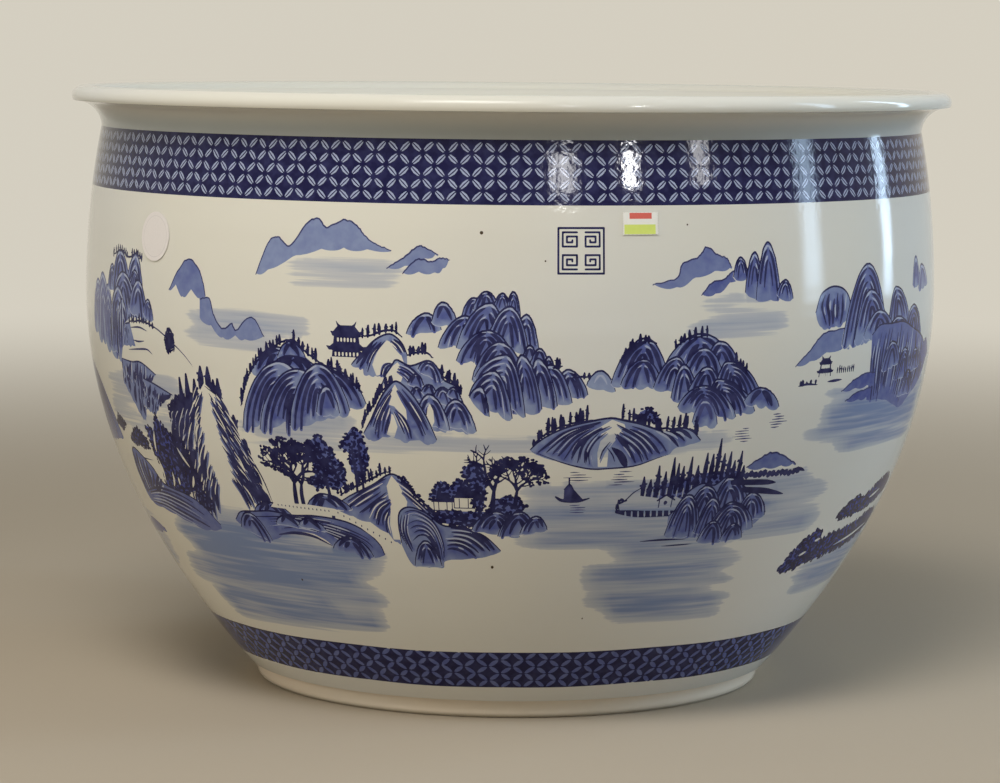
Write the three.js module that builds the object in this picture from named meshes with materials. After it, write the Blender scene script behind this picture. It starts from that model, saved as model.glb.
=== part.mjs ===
import * as THREE from 'three';

// Porcelain jardiniere: a wide, low-footed glazed bowl, thrown in sections that are luted together.
// Millimetres, +Z up. The origin is the centre of the foot's resting face, and the front is -Y.

// Wall, with the widest height set down from the neck
const rimHeight = 411.5;
const lipHeight = 27.5;
const neckHeight = rimHeight - lipHeight;
const shoulderRise = 112;
const bellyHeight = neckHeight - shoulderRise;
const bellyRadius = 295.8;
const neckDraw = 11;
const neckRadius = bellyRadius - neckDraw;
const heelHeight = 16;
const heelRadius = 186.4;
const wallThickness = 11;
const heelCoveHeight = 18;

// Rolled lip, which overhangs the neck
const crestOverhang = 12.2;
const crestRadius = neckRadius + crestOverhang;
const crestInnerReach = 10;
const crestOuterReach = 8;
const rollHeight = 7;
const lipUndercutAngle = THREE.MathUtils.degToRad(-25);
const lipInnerAngle = THREE.MathUtils.degToRad(162);
const coveRise = 9;
const coveReach = 11;
const throatRise = 13;

// Luted joints between the thrown sections
const shoulderSectionHeight = 48;
const shoulderJointHeight = neckHeight - shoulderSectionHeight;
const bellyJointHeight = 190;
const lapHeight = 5;
const lutingGap = 0.3;

// Foot ring set in from the heel, and the floor that rests on it
const footHeight = 13;
const footSetback = 9.4;
const footOuterRadius = heelRadius - footSetback;
const footWidth = 17;
const footInnerRadius = footOuterRadius - footWidth;
const footRoundWidth = 4;
const footRoundHeight = 5;
const footChamfer = 3;
const floorSeat = 5.7;
const floorRadius = footInnerRadius + floorSeat;
const floorThickness = 12;
const floorEdge = 1;

// Paper labels, placed from the joint under the shoulder
const paperThickness = 0.35;
const paperGap = 0.3;
const lotDiameter = 32;
const lotAngle = THREE.MathUtils.degToRad(-51.4);
const lotClearance = 3.5;
const lotHeight = shoulderJointHeight - lotClearance - lotDiameter / 2;
const priceWidth = 23;
const priceHeight = 14;
const priceAngle = THREE.MathUtils.degToRad(15.9);
const priceDrop = 3;
const priceCentreHeight = shoulderJointHeight - priceDrop;
const priceWave = 0.45;

// Facet counts
const turnSegments = 72;
const lotSegments = 28;
const lotRings = 2;
const priceColumns = 12;
const priceRows = 8;

const point = (radius, height) => new THREE.Vector2(radius, height);

// The outside is two parabola halves that meet at the widest height.
const drawIn = (z) => (z < bellyHeight ? bellyRadius - heelRadius : bellyRadius - neckRadius);
const halfSpan = (z) => (z < bellyHeight ? bellyHeight - heelHeight : neckHeight - bellyHeight);
const outerRadius = (z) => bellyRadius - drawIn(z) * ((z - bellyHeight) / halfSpan(z)) ** 2;
const outerSlope = (z) => (-2 * drawIn(z) * (z - bellyHeight)) / halfSpan(z) ** 2;

// The inside keeps the wall's thickness, measured square to the wall.
const innerRadius = (z) => outerRadius(z) - wallThickness * Math.hypot(1, outerSlope(z));

const wallPoints = (radiusAt, from, to, steps) =>
  Array.from({ length: steps + 1 }, (_, i) => {
    const z = THREE.MathUtils.lerp(from, to, i / steps);
    return point(radiusAt(z), z);
  });

// A section's outer half rests on the section below, and its inner half laps over a raised ring.
const lapRadius = (joint) => (outerRadius(joint) + innerRadius(joint)) / 2;
const lapTop = (joint) => joint + lapHeight;
const lapRoof = (joint) => lapTop(joint) + lutingGap;

const raisedLap = (joint) => [point(lapRadius(joint), joint), point(lapRadius(joint), lapTop(joint))];
const hollowLap = (joint) => [
  point(lapRadius(joint) + lutingGap, lapRoof(joint)),
  point(lapRadius(joint) + lutingGap, joint),
];

// Turns a closed profile, given with its outside running upwards, about the vertical axis.
function turned(profile) {
  const loop = [...profile, profile[0].clone()];
  return new THREE.LatheGeometry(loop, turnSegments).rotateX(Math.PI / 2);
}

function rimLip() {
  const crestCentre = rimHeight - rollHeight;
  const outerRoll = new THREE.EllipseCurve(
    crestRadius, crestCentre, crestOuterReach, rollHeight, lipUndercutAngle, Math.PI / 2);
  const innerRoll = new THREE.EllipseCurve(
    crestRadius, crestCentre, crestInnerReach, rollHeight, Math.PI / 2, lipInnerAngle);
  const undercut = outerRoll.getPoint(0);
  const throatTop = innerRoll.getPoint(1);
  const throatFoot = point(innerRadius(lapRoof(neckHeight)), lapRoof(neckHeight));
  const cove = new THREE.CubicBezierCurve(
    point(neckRadius, neckHeight),
    point(neckRadius, neckHeight + coveRise),
    point(undercut.x - coveReach, undercut.y),
    undercut);
  const throat = new THREE.QuadraticBezierCurve(
    throatTop,
    point(throatFoot.x, throatFoot.y + throatRise),
    throatFoot);
  return turned([
    ...cove.getPoints(5),
    ...outerRoll.getPoints(5).slice(1),
    ...innerRoll.getPoints(3).slice(1),
    ...throat.getPoints(3).slice(1),
    ...hollowLap(neckHeight),
  ]);
}

function wallSection(lowJoint, highJoint, steps) {
  return turned([
    ...wallPoints(outerRadius, lowJoint, highJoint, steps),
    ...raisedLap(highJoint),
    ...wallPoints(innerRadius, lapTop(highJoint), lapRoof(lowJoint), steps),
    ...hollowLap(lowJoint),
  ]);
}

function lowerWall() {
  const floorTop = footHeight + floorThickness;
  const bore = floorRadius + lutingGap;
  const coveTop = floorTop + heelCoveHeight;
  const heelCove = new THREE.QuadraticBezierCurve(
    point(innerRadius(coveTop), coveTop),
    point(innerRadius(floorTop), floorTop),
    point(bore, floorTop));
  return turned([
    ...wallPoints(outerRadius, footHeight, bellyJointHeight, 8),
    ...raisedLap(bellyJointHeight),
    ...wallPoints(innerRadius, lapTop(bellyJointHeight), coveTop, 6),
    ...heelCove.getPoints(3).slice(1),
    point(bore, footHeight),
  ]);
}

function baseFloor() {
  const top = footHeight + floorThickness;
  return new THREE.LatheGeometry([
    point(0, footHeight),
    point(floorRadius, footHeight),
    point(floorRadius, top - floorEdge),
    point(floorRadius - floorEdge, top),
    point(0, top),
  ], turnSegments).rotateX(Math.PI / 2);
}

function footRing() {
  const outerRound = new THREE.EllipseCurve(
    footOuterRadius - footRoundWidth, footRoundHeight, footRoundWidth, footRoundHeight, -Math.PI / 2, 0);
  return turned([
    point(footInnerRadius + footChamfer, 0),
    ...outerRound.getPoints(4),
    point(footOuterRadius, footHeight),
    point(footInnerRadius, footHeight),
    point(footInnerRadius, footChamfer),
  ]);
}

// Wraps a flat label, drawn in X (across) and Y (up) with its face towards +Z, on to the wall.
function wrapped(geometry, angle, height) {
  const places = geometry.attributes.position;
  const tilt = Math.atan(outerSlope(height));
  for (let i = 0; i < places.count; i += 1) {
    const z = height + places.getY(i) * Math.cos(tilt);
    const radius = outerRadius(z) + paperGap + places.getZ(i);
    const turn = angle + places.getX(i) / outerRadius(height);
    places.setXYZ(i, radius * Math.sin(turn), -radius * Math.cos(turn), z);
  }
  geometry.computeVertexNormals();
  return geometry;
}

function lotLabel() {
  const rim = lotDiameter / 2;
  const back = Array.from({ length: lotRings + 1 }, (_, i) => point((rim * i) / lotRings, 0));
  const face = back.map((p) => point(p.x, paperThickness)).reverse();
  const disc = new THREE.LatheGeometry([...back, ...face], lotSegments).rotateX(Math.PI / 2);
  return wrapped(disc, lotAngle, lotHeight);
}

// The label gun cuts a shallow zigzag into all four edges.
function priceLabel() {
  const sheet = new THREE.BoxGeometry(
    priceWidth, priceHeight, paperThickness, priceColumns, priceRows, 1);
  const places = sheet.attributes.position;
  for (let i = 0; i < places.count; i += 1) {
    const x = places.getX(i);
    const y = places.getY(i);
    const column = Math.round((x / priceWidth + 0.5) * priceColumns);
    const row = Math.round((y / priceHeight + 0.5) * priceRows);
    const onSide = column === 0 || column === priceColumns;
    const onEnd = row === 0 || row === priceRows;
    const cutX = onSide && row % 2 === 1 ? priceWave * Math.sign(x) : 0;
    const cutY = onEnd && column % 2 === 1 ? priceWave * Math.sign(y) : 0;
    places.setXYZ(i, x - cutX, y - cutY, places.getZ(i) + paperThickness / 2);
  }
  return wrapped(sheet, priceAngle, priceCentreHeight);
}

const group = new THREE.Group();

function addPiece(name, geometry, color, roughness) {
  const material = new THREE.MeshStandardMaterial({ color, roughness, metalness: 0 });
  const mesh = new THREE.Mesh(geometry, material);
  mesh.name = name;
  group.add(mesh);
}

addPiece('foot_ring', footRing(), 0xd2cfc3, 0.45);
addPiece('base_floor', baseFloor(), 0xcfcdc2, 0.2);
addPiece('lower_wall', lowerWall(), 0xb9bac0, 0.15);
addPiece('belly_wall', wallSection(bellyJointHeight, shoulderJointHeight, 6), 0xbdbec4, 0.15);
addPiece('shoulder_wall', wallSection(shoulderJointHeight, neckHeight, 3), 0x56587c, 0.15);
addPiece('rim_lip', rimLip(), 0xd6d4c9, 0.12);
addPiece('lot_label', lotLabel(), 0xe2dcd6, 0.7);
addPiece('price_label', priceLabel(), 0xe8e6df, 0.6);

export default group;
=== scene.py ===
import math
import random
import bmesh
import bpy
import numpy as np
from mathutils import Matrix, Vector
from mathutils.geometry import delaunay_2d_cdt


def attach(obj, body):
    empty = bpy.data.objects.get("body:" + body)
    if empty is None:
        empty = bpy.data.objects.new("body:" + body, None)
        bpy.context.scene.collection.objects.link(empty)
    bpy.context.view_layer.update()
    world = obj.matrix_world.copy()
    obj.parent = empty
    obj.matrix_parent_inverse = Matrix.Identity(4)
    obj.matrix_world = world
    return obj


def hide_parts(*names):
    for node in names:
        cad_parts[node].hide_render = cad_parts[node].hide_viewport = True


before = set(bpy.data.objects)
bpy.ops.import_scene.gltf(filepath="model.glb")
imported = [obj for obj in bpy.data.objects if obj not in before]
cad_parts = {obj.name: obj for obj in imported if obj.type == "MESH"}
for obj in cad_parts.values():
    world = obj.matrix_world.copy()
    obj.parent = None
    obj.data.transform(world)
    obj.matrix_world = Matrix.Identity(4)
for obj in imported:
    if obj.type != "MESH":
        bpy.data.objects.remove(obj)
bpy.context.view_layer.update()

print("frame loaded")

# The jardiniere's own sizes in millimetres, as in the part
vessel = {
    "rimHeight": 411.5,
    "lipHeight": 27.5,
    "shoulderRise": 112,
    "bellyRadius": 295.8,
    "neckDraw": 11,
    "heelHeight": 16,
    "heelRadius": 186.4,
    "wallThickness": 11,
    "heelCoveHeight": 18,
    "crestOverhang": 12.2,
    "crestInnerReach": 10,
    "crestOuterReach": 8,
    "rollHeight": 7,
    "coveRise": 9,
    "coveReach": 11,
    "throatRise": 13,
    "shoulderSectionHeight": 48,
    "bellyJointHeight": 190,
    "lapHeight": 5,
    "floorGap": 0.3,
    "floorSeat": 5.7,
    "floorThickness": 12,
    "floorEdge": 1,
    "footHeight": 13,
    "footSetback": 9.4,
    "footWidth": 17,
    "footRoundWidth": 4,
    "footRoundHeight": 5,
    "footChamfer": 3,
}

bellyRadius, lapHeight, footHeight = vessel["bellyRadius"], vessel["lapHeight"], vessel["footHeight"]
neckHeight = vessel["rimHeight"] - vessel["lipHeight"]
bellyHeight = neckHeight - vessel["shoulderRise"]
shoulderJoint = neckHeight - vessel["shoulderSectionHeight"]
neckRadius = bellyRadius - vessel["neckDraw"]
footOuterRadius = vessel["heelRadius"] - vessel["footSetback"]
footInnerRadius = footOuterRadius - vessel["footWidth"]
floorRadius = footInnerRadius + vessel["floorSeat"]
floorTop = footHeight + vessel["floorThickness"]
metre = 0.001


# the wall is two parabolas that meet at the belly: how far each draws in, and over what height
def draw(z):
    below = z < bellyHeight
    return (np.where(below, bellyRadius - vessel["heelRadius"], vessel["neckDraw"]),
            np.where(below, bellyHeight - vessel["heelHeight"], vessel["shoulderRise"]))


def outerRadius(z):
    inward, rise = draw(z)
    return bellyRadius - inward * ((z - bellyHeight) / rise) ** 2


def outerSlope(z):
    inward, rise = draw(z)
    return -2 * (inward / rise ** 2) * (z - bellyHeight)


def innerRadius(z):
    return outerRadius(z) - vessel["wallThickness"] * np.hypot(1, outerSlope(z))


painting = {
    "seed": 7,
    "seamDegree": 79,       # where the canvas joins, between the two landscapes
    "pixel": 0.4,
    "low": 20.0,
    "high": 388.0,
    "backTurn": 180,        # degrees from the front landscape to the back one
    "darkInk": 0.94,        # how dense each colour is laid, from 0 to 1
    "treeInk": 0.97,
    "midBlue": 0.8,
    "bandInk": 0.97,
    "thinnestInk": 0.45,    # the tone at which the ink is at its palest
    "toneReach": 0.45,      # how far past its edge a mark sets the tone, mm
    "strokeReach": 1.2,     # how far past its edge a stroke is worked out, mm
    "halo": 0.5,            # the bare line round a rock, mm
    "specks": [(-3.5, 327, 1.15), (4.2, 310, 0.6), (-2.2, 113, 1.1), (22, 332, 0.6), (-33, 96, 0.8), (12, 76, 0.6)],
}
darkInk, treeInk, midBlue = painting["darkInk"], painting["treeInk"], painting["midBlue"]
seamDegree, pixelMm, specks = painting["seamDegree"], painting["pixel"], painting["specks"]
paintLow, paintHigh = painting["low"], painting["high"]
rng = random.Random(painting["seed"])
vary = rng.uniform
mmPerDegree = math.radians(1) * bellyRadius
columns = int(round(360 * mmPerDegree / pixelMm))
rows = int(round((paintHigh - paintLow) / pixelMm)) + 1
columnMm = 360 * mmPerDegree / columns
shift = 0.0
fieldLimit = 1.5


def canvas(value):
    return np.full((rows, columns), value, np.float32)


# ink and fill are distances in mm to the painted edge, positive inside; tint is pale blue inside the shapes
ink, fill, inkTone, fillTone, wash, tint = (canvas(v) for v in (-fieldLimit, -fieldLimit, 0.85, 0.5, 0, 0))


# points are written in turn as degrees round from the front and heights in mm
def pairs(points):
    return np.asarray(points, float).reshape(-1, 2)


def across(degree):
    return ((degree + shift - seamDegree) % 360) * mmPerDegree


def toMm(points):
    p = pairs(points)
    return np.stack([across(p[:, 0]), p[:, 1]], 1)


def spline(points, steps):
    p = pairs(points)
    if len(p) < 3:
        t = np.linspace(0, 1, steps + 1)[:, None]
        return p[0] * (1 - t) + p[-1] * t
    q = np.vstack([2 * p[0] - p[1], p, 2 * p[-1] - p[-2]])
    t = np.linspace(0, 1, steps, endpoint=False)[:, None]
    out = [0.5 * (2 * b + (c - a) * t + (2 * a - 5 * b + 4 * c - d) * t ** 2 + (3 * b - a - 3 * c + d) * t ** 3)
           for a, b, c, d in zip(q[:-3], q[1:-2], q[2:-1], q[3:])]
    return np.vstack(out + [p[-1:]])


def curve(points, steps=8):
    return spline(toMm(points), steps)


# the part of the canvas round some points, with the places of its columns and rows
def window(points, reach):
    lo = points.min(0) - reach
    hi = points.max(0) + reach
    c0 = max(int(lo[0] / columnMm), 0)
    c1 = min(int(hi[0] / columnMm) + 2, columns)
    r0 = max(int((lo[1] - paintLow) / pixelMm), 0)
    r1 = min(int((hi[1] - paintLow) / pixelMm) + 2, rows)
    x = np.arange(c0, c1) * columnMm
    y = paintLow + np.arange(r0, r1) * pixelMm
    return (slice(r0, r1), slice(c0, c1)), x[None, :], y[:, None]


# how far along an edge the nearest spot lies, and how far off it is
def edgeDistance(a, b, x, y):
    (x0, y0), (dx, dy) = a, b - a
    t = np.clip(((x - x0) * dx + (y - y0) * dy) / (dx * dx + dy * dy + 1e-9), 0, 1)
    return t, np.hypot(x - x0 - t * dx, y - y0 - t * dy)


def strokeDistance(points, radii, x, y):
    best = np.full(np.broadcast(x, y).shape, -9.0, np.float32)
    for a, b, r0, r1 in zip(points[:-1], points[1:], radii[:-1], radii[1:]):
        t, d = edgeDistance(a, b, x, y)
        np.maximum(best, r0 + (r1 - r0) * t - d, out=best)
    return best


def polygonDistance(points, x, y):
    inside = np.zeros(np.broadcast(x, y).shape, bool)
    best = np.full(inside.shape, 9.0, np.float32)
    for a, b in zip(points, np.roll(points, -1, 0)):
        np.minimum(best, edgeDistance(a, b, x, y)[1], out=best)
        if a[1] != b[1]:
            crossed = (a[1] > y) != (b[1] > y)
            inside ^= crossed & (x < a[0] + (y - a[1]) * (b[0] - a[0]) / (b[1] - a[1]))
    return np.where(inside, best, -best)


def depthAt(outline, spot):
    return polygonDistance(outline, spot[:1, None], spot[1:, None])[0, 0]


def layInto(field, tones):
    def lay(cut, d, tone):
        field[cut] = np.clip(np.maximum(field[cut], d), -fieldLimit, fieldLimit)
        tones[cut] = np.where(d > -painting["toneReach"], tone, tones[cut])
    return lay


layInk, layFill = layInto(ink, inkTone), layInto(fill, fillTone)


def wipe(cut, d, tone=None):
    for field in (ink, fill):
        field[cut] = np.maximum(np.minimum(field[cut], -d), -fieldLimit)


# wipes an outline clean, with a bare line round it, and lays a pale blue in it
def cleared(outline, halo, pale):
    cut, x, y = window(outline, halo + fieldLimit)
    d = polygonDistance(outline, x, y)
    wipe(cut, d + halo)
    tint[cut] = np.where(d > 0, pale, tint[cut])
    return cut, x, y, d


def bareMm(points, halo=0.6):
    cleared(points, halo, 0)


def bare(points, halo=0.0):
    bareMm(toMm(points), halo)


def inkShape(points, tone=darkInk):
    points = pairs(points)
    cut, x, y = window(points, fieldLimit)
    layInk(cut, polygonDistance(points, x, y), tone)


# half the width along a stroke, which swells towards its peak
def taper(n, width, start, end, peak):
    t = np.linspace(0, 1, n)
    rise = np.where(t < peak, t / peak, (1 - t) / (1 - peak))
    low = np.where(t < peak, start, end)
    return width / 2 * (low + (1 - low) * np.sin(rise * np.pi / 2) ** 0.8)


def strokeMm(points, width, tone=0.85, start=0.25, end=0.15, peak=0.45, lay=layInk):
    points = pairs(points)
    radii = taper(len(points), width, start, end, peak)
    cut, x, y = window(points, radii.max() + painting["strokeReach"])
    lay(cut, strokeDistance(points, radii, x, y), tone)


def stroke(points, width, **kw):
    strokeMm(curve(points, 5), width, **kw)


def dab(points, width, **kw):
    stroke(points, width, tone=0.93, **kw)


def blob(x, y, rx, ry, tone=0.85, turn=0.0):
    a = np.linspace(0, 2 * np.pi, 9)[:-1]
    px, py = rx * np.cos(a), ry * np.sin(a)
    p = np.stack([x + px * math.cos(turn) - py * math.sin(turn), y + px * math.sin(turn) + py * math.cos(turn)], 1)
    inkShape(p + np.array([[vary(-0.18, 0.18) * rx, vary(-0.18, 0.18) * ry] for _ in a]), tone)


# wet horizontal strokes of thin blue, laid one under another with uneven ends
def washBand(lowDeg, highDeg, low, high, depth):
    broad = 12.0
    a, b = across(lowDeg), across(highDeg)
    z = low + broad * 0.3
    while z < high:
        left = a + vary(-0.06, 0.2) * (b - a)
        right = b + vary(-0.2, 0.06) * (b - a)
        tilt = vary(-1.5, 1.5)
        path = spline([left, z + tilt, (left + right) / 2, z + vary(-1.5, 1.5), right, z - tilt], 6)
        cut, x, y = window(path, broad)
        d = strokeDistance(path, np.full(len(path), broad * vary(0.3, 0.5)), x, y)
        ends = np.clip(np.minimum(x - left, right - x) / vary(14, 34) + 0.25, 0, 1)
        amount = depth * vary(0.55, 1.0) * np.clip(d / 4 + 0.6, 0, 1) * ends
        part = wash[cut]
        wash[cut] = np.maximum(part, amount) * 0.6 + (1 - (1 - part) * (1 - amount)) * 0.4
        z += broad * vary(0.35, 0.6)


# points of a fold from its left foot over the crown to its right foot
def arch(left, apex, right, n=24):
    s = np.linspace(-1, 1, n + 1)
    end = np.where(s[:, None] < 0, left, right)
    x = apex[0] + np.abs(s) * (end[:, 0] - apex[0])
    return np.stack([x, end[:, 1] + (apex[1] - end[:, 1]) * (1 - np.abs(s) ** 1.9) ** 0.78], 1)


# one rounded rock fold: outline, pale rim, and thick strokes that fan out from the crown
def fold(points, strokes=3, sides="both", width=2.0, tone=0.3, dark=darkInk, depth=2.5):
    left, apex, right = toMm(points)
    out = arch(left, apex, right)
    out[1:-1] += np.array([[vary(-0.2, 0.2), vary(-0.2, 0.2)] for _ in out[1:-1]])
    span = right[0] - left[0]
    n = max(int(abs(span) / 8), 1)
    lobes = np.sort([0, 1] + [(k + vary(-0.25, 0.25)) / n for k in range(1, n)])
    t = np.linspace(1, 0, n * 6 + 1)[1:-1]
    into = np.interp(t, lobes, np.arange(n + 1))
    deep = np.array([0.7 + 0.3 * math.sin(7.3 * int(v) + left[0]) for v in into])
    dip = np.abs(np.sin(into * math.pi)) ** 0.55 * deep
    foot = np.stack([left[0] + span * t, left[1] + (right[1] - left[1]) * t - depth * (0.15 + dip)], 1)
    cut, _, y, d = cleared(np.vstack([out, foot]), painting["halo"], 0.95)
    low = min(left[1], right[1])
    tall = max(apex[1] - low, 1)
    layFill(cut, d, np.clip(tone + 0.25 * (y - low) / tall - 0.1, 0, 1))
    middle = (left[0] + right[0]) / 2
    cells = strokes + 0.75
    gap = abs(span) / 2 / cells

    # the two halves of a smaller arch inside the fold, each from the crown down
    def halves(share, a, b):
        crown = apex - [(apex[0] - middle) * (1 - share) * 0.6, tall * (1 - share) / 2]
        feet = [(middle + (p[0] - middle) * share, p[1] - 0.4 * depth) for p in (left, right)]
        chain = arch(feet[0], crown, feet[1], 28)
        half = len(chain) // 2
        for part in (chain[:half + 1][::-1], chain[half:]):
            first, last = int(len(part) * vary(*a)), int(len(part) * vary(*b)) + 1
            if last - first > 3:
                yield part[first:last]

    for part in halves(1 - 0.34 / cells, (0.0, 0.12), (0.6, 0.95)):
        strokeMm(part, min(1.7, gap * 0.5), lay=wipe, start=0.5, end=0.2, peak=0.3)
    for k in range(strokes):
        share = 1 - (k + 0.68) / cells
        if k:
            for part in halves(share + 0.4 / cells, (0.0, 0.3), (0.7, 0.98)):
                if rng.random() < 0.85:
                    strokeMm(part, min(vary(0.9, 1.7), gap * 0.42), lay=wipe, start=0.35, end=0.2, peak=vary(0.3, 0.6))
        for side, part in zip(("left", "right"), halves(share, (0.0, 0.25), (0.8, 1.0))):
            if sides not in ("both", side) and rng.random() < 0.75:
                continue
            thick = min(width * vary(0.9, 1.5), gap * vary(0.5, 0.66))
            strokeMm(part - [0, 0.5], thick * 1.7, tone=midBlue, lay=layFill, start=0.3, end=0.5)
            strokeMm(part, thick, tone=dark - vary(0, 0.1), start=0.3, end=0.4, peak=vary(0.3, 0.65))
            if rng.random() < 0.35:
                q = part[len(part) // 3:] + [vary(-0.5, 0.5) * gap, 0]
                strokeMm(q, min(1.1, gap * 0.3), tone=dark - 0.1, start=0.1, end=0.3)
    strokeMm(out, 1.25, tone=dark, start=0.45, end=0.45)


# each row is a fold's six numbers, and then its count of strokes or other changes
def folds(rows, **kw):
    for *points, last in ((*row, {}) if len(row) == 6 else row for row in rows):
        fold(points, **{**kw, **(last if isinstance(last, dict) else {"strokes": last})})


# a distant pine: an upright dab with a blunt tip and a few side dabs
def pine(x, y, height, width):
    lean = vary(-0.35, 0.35)
    strokeMm([x, y - 0.8, x + lean * 0.4, y + height * 0.5, x + lean, y + height], width, tone=treeInk, start=0.6,
             end=0.55, peak=0.55)
    for _ in range(int(height / 3)):
        z = y + height * vary(0.2, 0.75)
        side = rng.choice((-1, 1))
        strokeMm([x, z, x + side * width * vary(0.45, 0.7), z + vary(-0.2, 0.5)], 1.2, tone=treeInk, start=0.8, end=0.6)


def lengths(chain):
    return np.concatenate([[0], np.cumsum(np.hypot(*np.diff(chain, axis=0).T))])


def pineRow(path, gap=2.9, height=(3.5, 7.5), width=(1.7, 2.6), bush=1.4):
    p = curve(path)
    steps = lengths(p)
    if bush:
        ragged = p + np.array([[0, vary(-0.3, 0.5)] for _ in p])
        strokeMm(ragged, bush, tone=treeInk, start=0.5, end=0.5)
    at = vary(0, gap)
    while at < steps[-1]:
        if rng.random() < 0.9:
            pine(*(np.interp(at, steps, p[:, k]) for k in (0, 1)), vary(*height), vary(*width))
        at += gap * vary(0.5, 1.6)


def farHill(top, bottom, tone=0.42, edge=1.0):
    t, b = curve(top, 7), curve(bottom, 7)
    t[1:-1] += np.array([[0, vary(-0.5, 0.5)] for _ in t[1:-1]])
    b[:, 1] -= 2 * np.abs(np.sin(np.linspace(0, len(bottom) * 1.3, len(b)))) ** 0.6 - 1
    outline = np.vstack([t, b[::-1]])
    cut, x, y = window(outline, fieldLimit)
    d = polygonDistance(outline, x, y)
    wipe(cut, d)
    depth = np.clip((y - b[:, 1].min()) / max(np.ptp(t[:, 1]), 1), 0, 1)
    layFill(cut, d, tone - 0.12 + 0.12 * depth + 0.02 * np.sin(x * 0.7 + y * 0.3))
    strokeMm(t, edge, tone=0.78, start=0.7, end=0.6)


# long feathered strokes that leave a bare ridge and run steeply down its side
def slopes(ridge, foot, side):
    steep = 2.1
    r, f = curve(ridge, 12), curve(foot, 12)
    n = int(np.hypot(*(r[-1] - r[0])) / 2.2)
    for i in range(n):
        t = (i + vary(0.1, 0.9)) / n
        a, b = (p[int(t * (len(p) - 1))] for p in (r, f))
        room = abs(b[0] - a[0])
        for lane in range(max(int(room / 5.5), 1)):
            start = np.array([a[0] + side * (0.6 + room * (lane * 0.26 + vary(0, 0.16))), a[1] - vary(0, 4)])
            size = vary(14, 26)
            reach = min(size / steep, room - abs(start[0] - a[0]) + 1.5)
            if reach < 1.2:
                continue
            end = start + [side * reach, -reach * steep * vary(0.9, 1.1)]
            if end[1] < f[:, 1].min() - 2:
                continue
            p = spline([start, (start + end) / 2 + [side * reach * 0.12, 1.2], end], 5)
            if rng.random() < 0.6:
                strokeMm(p - [side * 0.4, 1.6], vary(2.2, 3.4), tone=0.55, lay=layFill, start=0.3, end=0.5)
            if rng.random() < 0.5:
                strokeMm(p + [side * 1.3, 0.6], vary(0.7, 1.1), lay=wipe, start=0.3)
            strokeMm(p, vary(1.6, 3.0), tone=darkInk - vary(0, 0.12), start=0.1, end=0.35, peak=0.6)


def ripples(deg, z, width, lines, tone=0.62):
    x = across(deg)
    for i in range(lines):
        half = width / 2 * (1 - abs(i - lines / 2) / lines) * vary(0.6, 1.1)
        off = vary(-0.15, 0.15) * width
        y = z - i * 1.7
        strokeMm([x + off - half, y, x + off, y + vary(-0.2, 0.2), x + off + half, y + 0.1], vary(0.7, 1.0), tone=tone,
                 start=0.4, end=0.4)


def branchTree(deg, z, height, spread, leaves=True, width=1.7, levels=4, leaf=1.0):
    def cluster(x, y):
        for _ in range(5 if leaves else 0):
            blob(x + vary(-1.4, 1.4) * leaf, y + vary(-0.8, 1.0) * leaf, vary(0.65, 1.05) * leaf,
                 vary(0.45, 0.75) * leaf, tone=treeInk)

    def bough(points, w):
        strokeMm(spline(points, 4), w, tone=treeInk, start=1.0, end=0.6, peak=0.05)

    def toward(x, y, angle, length):
        return x + math.cos(angle) * length, y + math.sin(angle) * length

    def grow(x, y, angle, length, w, level):
        bend = vary(-0.35, 0.35)
        tip = toward(x, y, angle + bend / 2, length)
        mid = toward(x, y, angle, length * 0.5)
        bough([(x, y), mid, tip], w)
        if level == 0:
            cluster(*tip)
            return
        for turn in rng.choice(((-0.55, 0.5), (-0.35, 0.6), (-0.6, 0.1, 0.6))):
            grow(*tip, angle + turn * spread + vary(-0.15, 0.15), length * vary(0.62, 0.82), w * 0.68, level - 1)
        if level < levels:
            # twigs that leave the bough halfway, so that the crown fills from below
            for side in (-1, 1):
                if rng.random() < 0.6:
                    end = toward(mid[0], mid[1] + 0.8, angle + side * vary(0.8, 1.2), length * 0.8)
                    bough([mid, ((mid[0] + end[0]) / 2, (mid[1] + end[1]) / 2 - 0.5), end], w * 0.5)
                    cluster(*end)

    grow(across(deg), z, math.pi / 2 + vary(-0.1, 0.1), height * 0.33, width, levels)


# places given as shares of a width and a height from a foot point
def scaled(x, z, width, height, shares):
    return pairs(shares) * (width, height) + (x, z)


def house(deg, z, width, height):
    x = across(deg)
    wall = scaled(x, z, width, height, [-0.42,0, 0.42,0, 0.42,0.5, -0.42,0.5])
    bareMm(wall, 0.3)
    strokeMm([*wall, wall[0]], 0.6, tone=darkInk, start=1, end=1)
    for k in (-0.2, 0.18):
        strokeMm(scaled(x, z, width, height, [k, 0, k, 0.45]), 0.6, tone=darkInk, start=1, end=1)
    inkShape(scaled(x, z, width, height, [-0.58,0.45, -0.3,0.66, -0.26,1, 0.3,1, 0.34,0.66, 0.6,0.47, 0,0.52]))


def boat(deg, z, width):
    x = across(deg)
    hull = scaled(x, z, width, 1, [-0.5,3, -0.3,0.6, 0.15,0, 0.5,1.8])
    strokeMm(spline(hull, 5), 2.2, tone=darkInk, start=0.5, end=0.4)
    sail = scaled(x, z, width, 1, [-0.26,0.8, -0.26,8, -0.12,11.5, -0.06,10.5, 0.02,7.4, 0.3,1])
    inkShape(sail, 0.65)
    strokeMm(sail[1:], 0.9, tone=darkInk, start=0.8, end=0.8)
    strokeMm(scaled(x, z, width, 1, [-0.12,11, -0.13,15]), 1.4, tone=darkInk, start=0.8, end=0.8)
    ripples(deg + 0.5, z - 2.6, width * 0.7, 4, tone=0.6)


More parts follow.
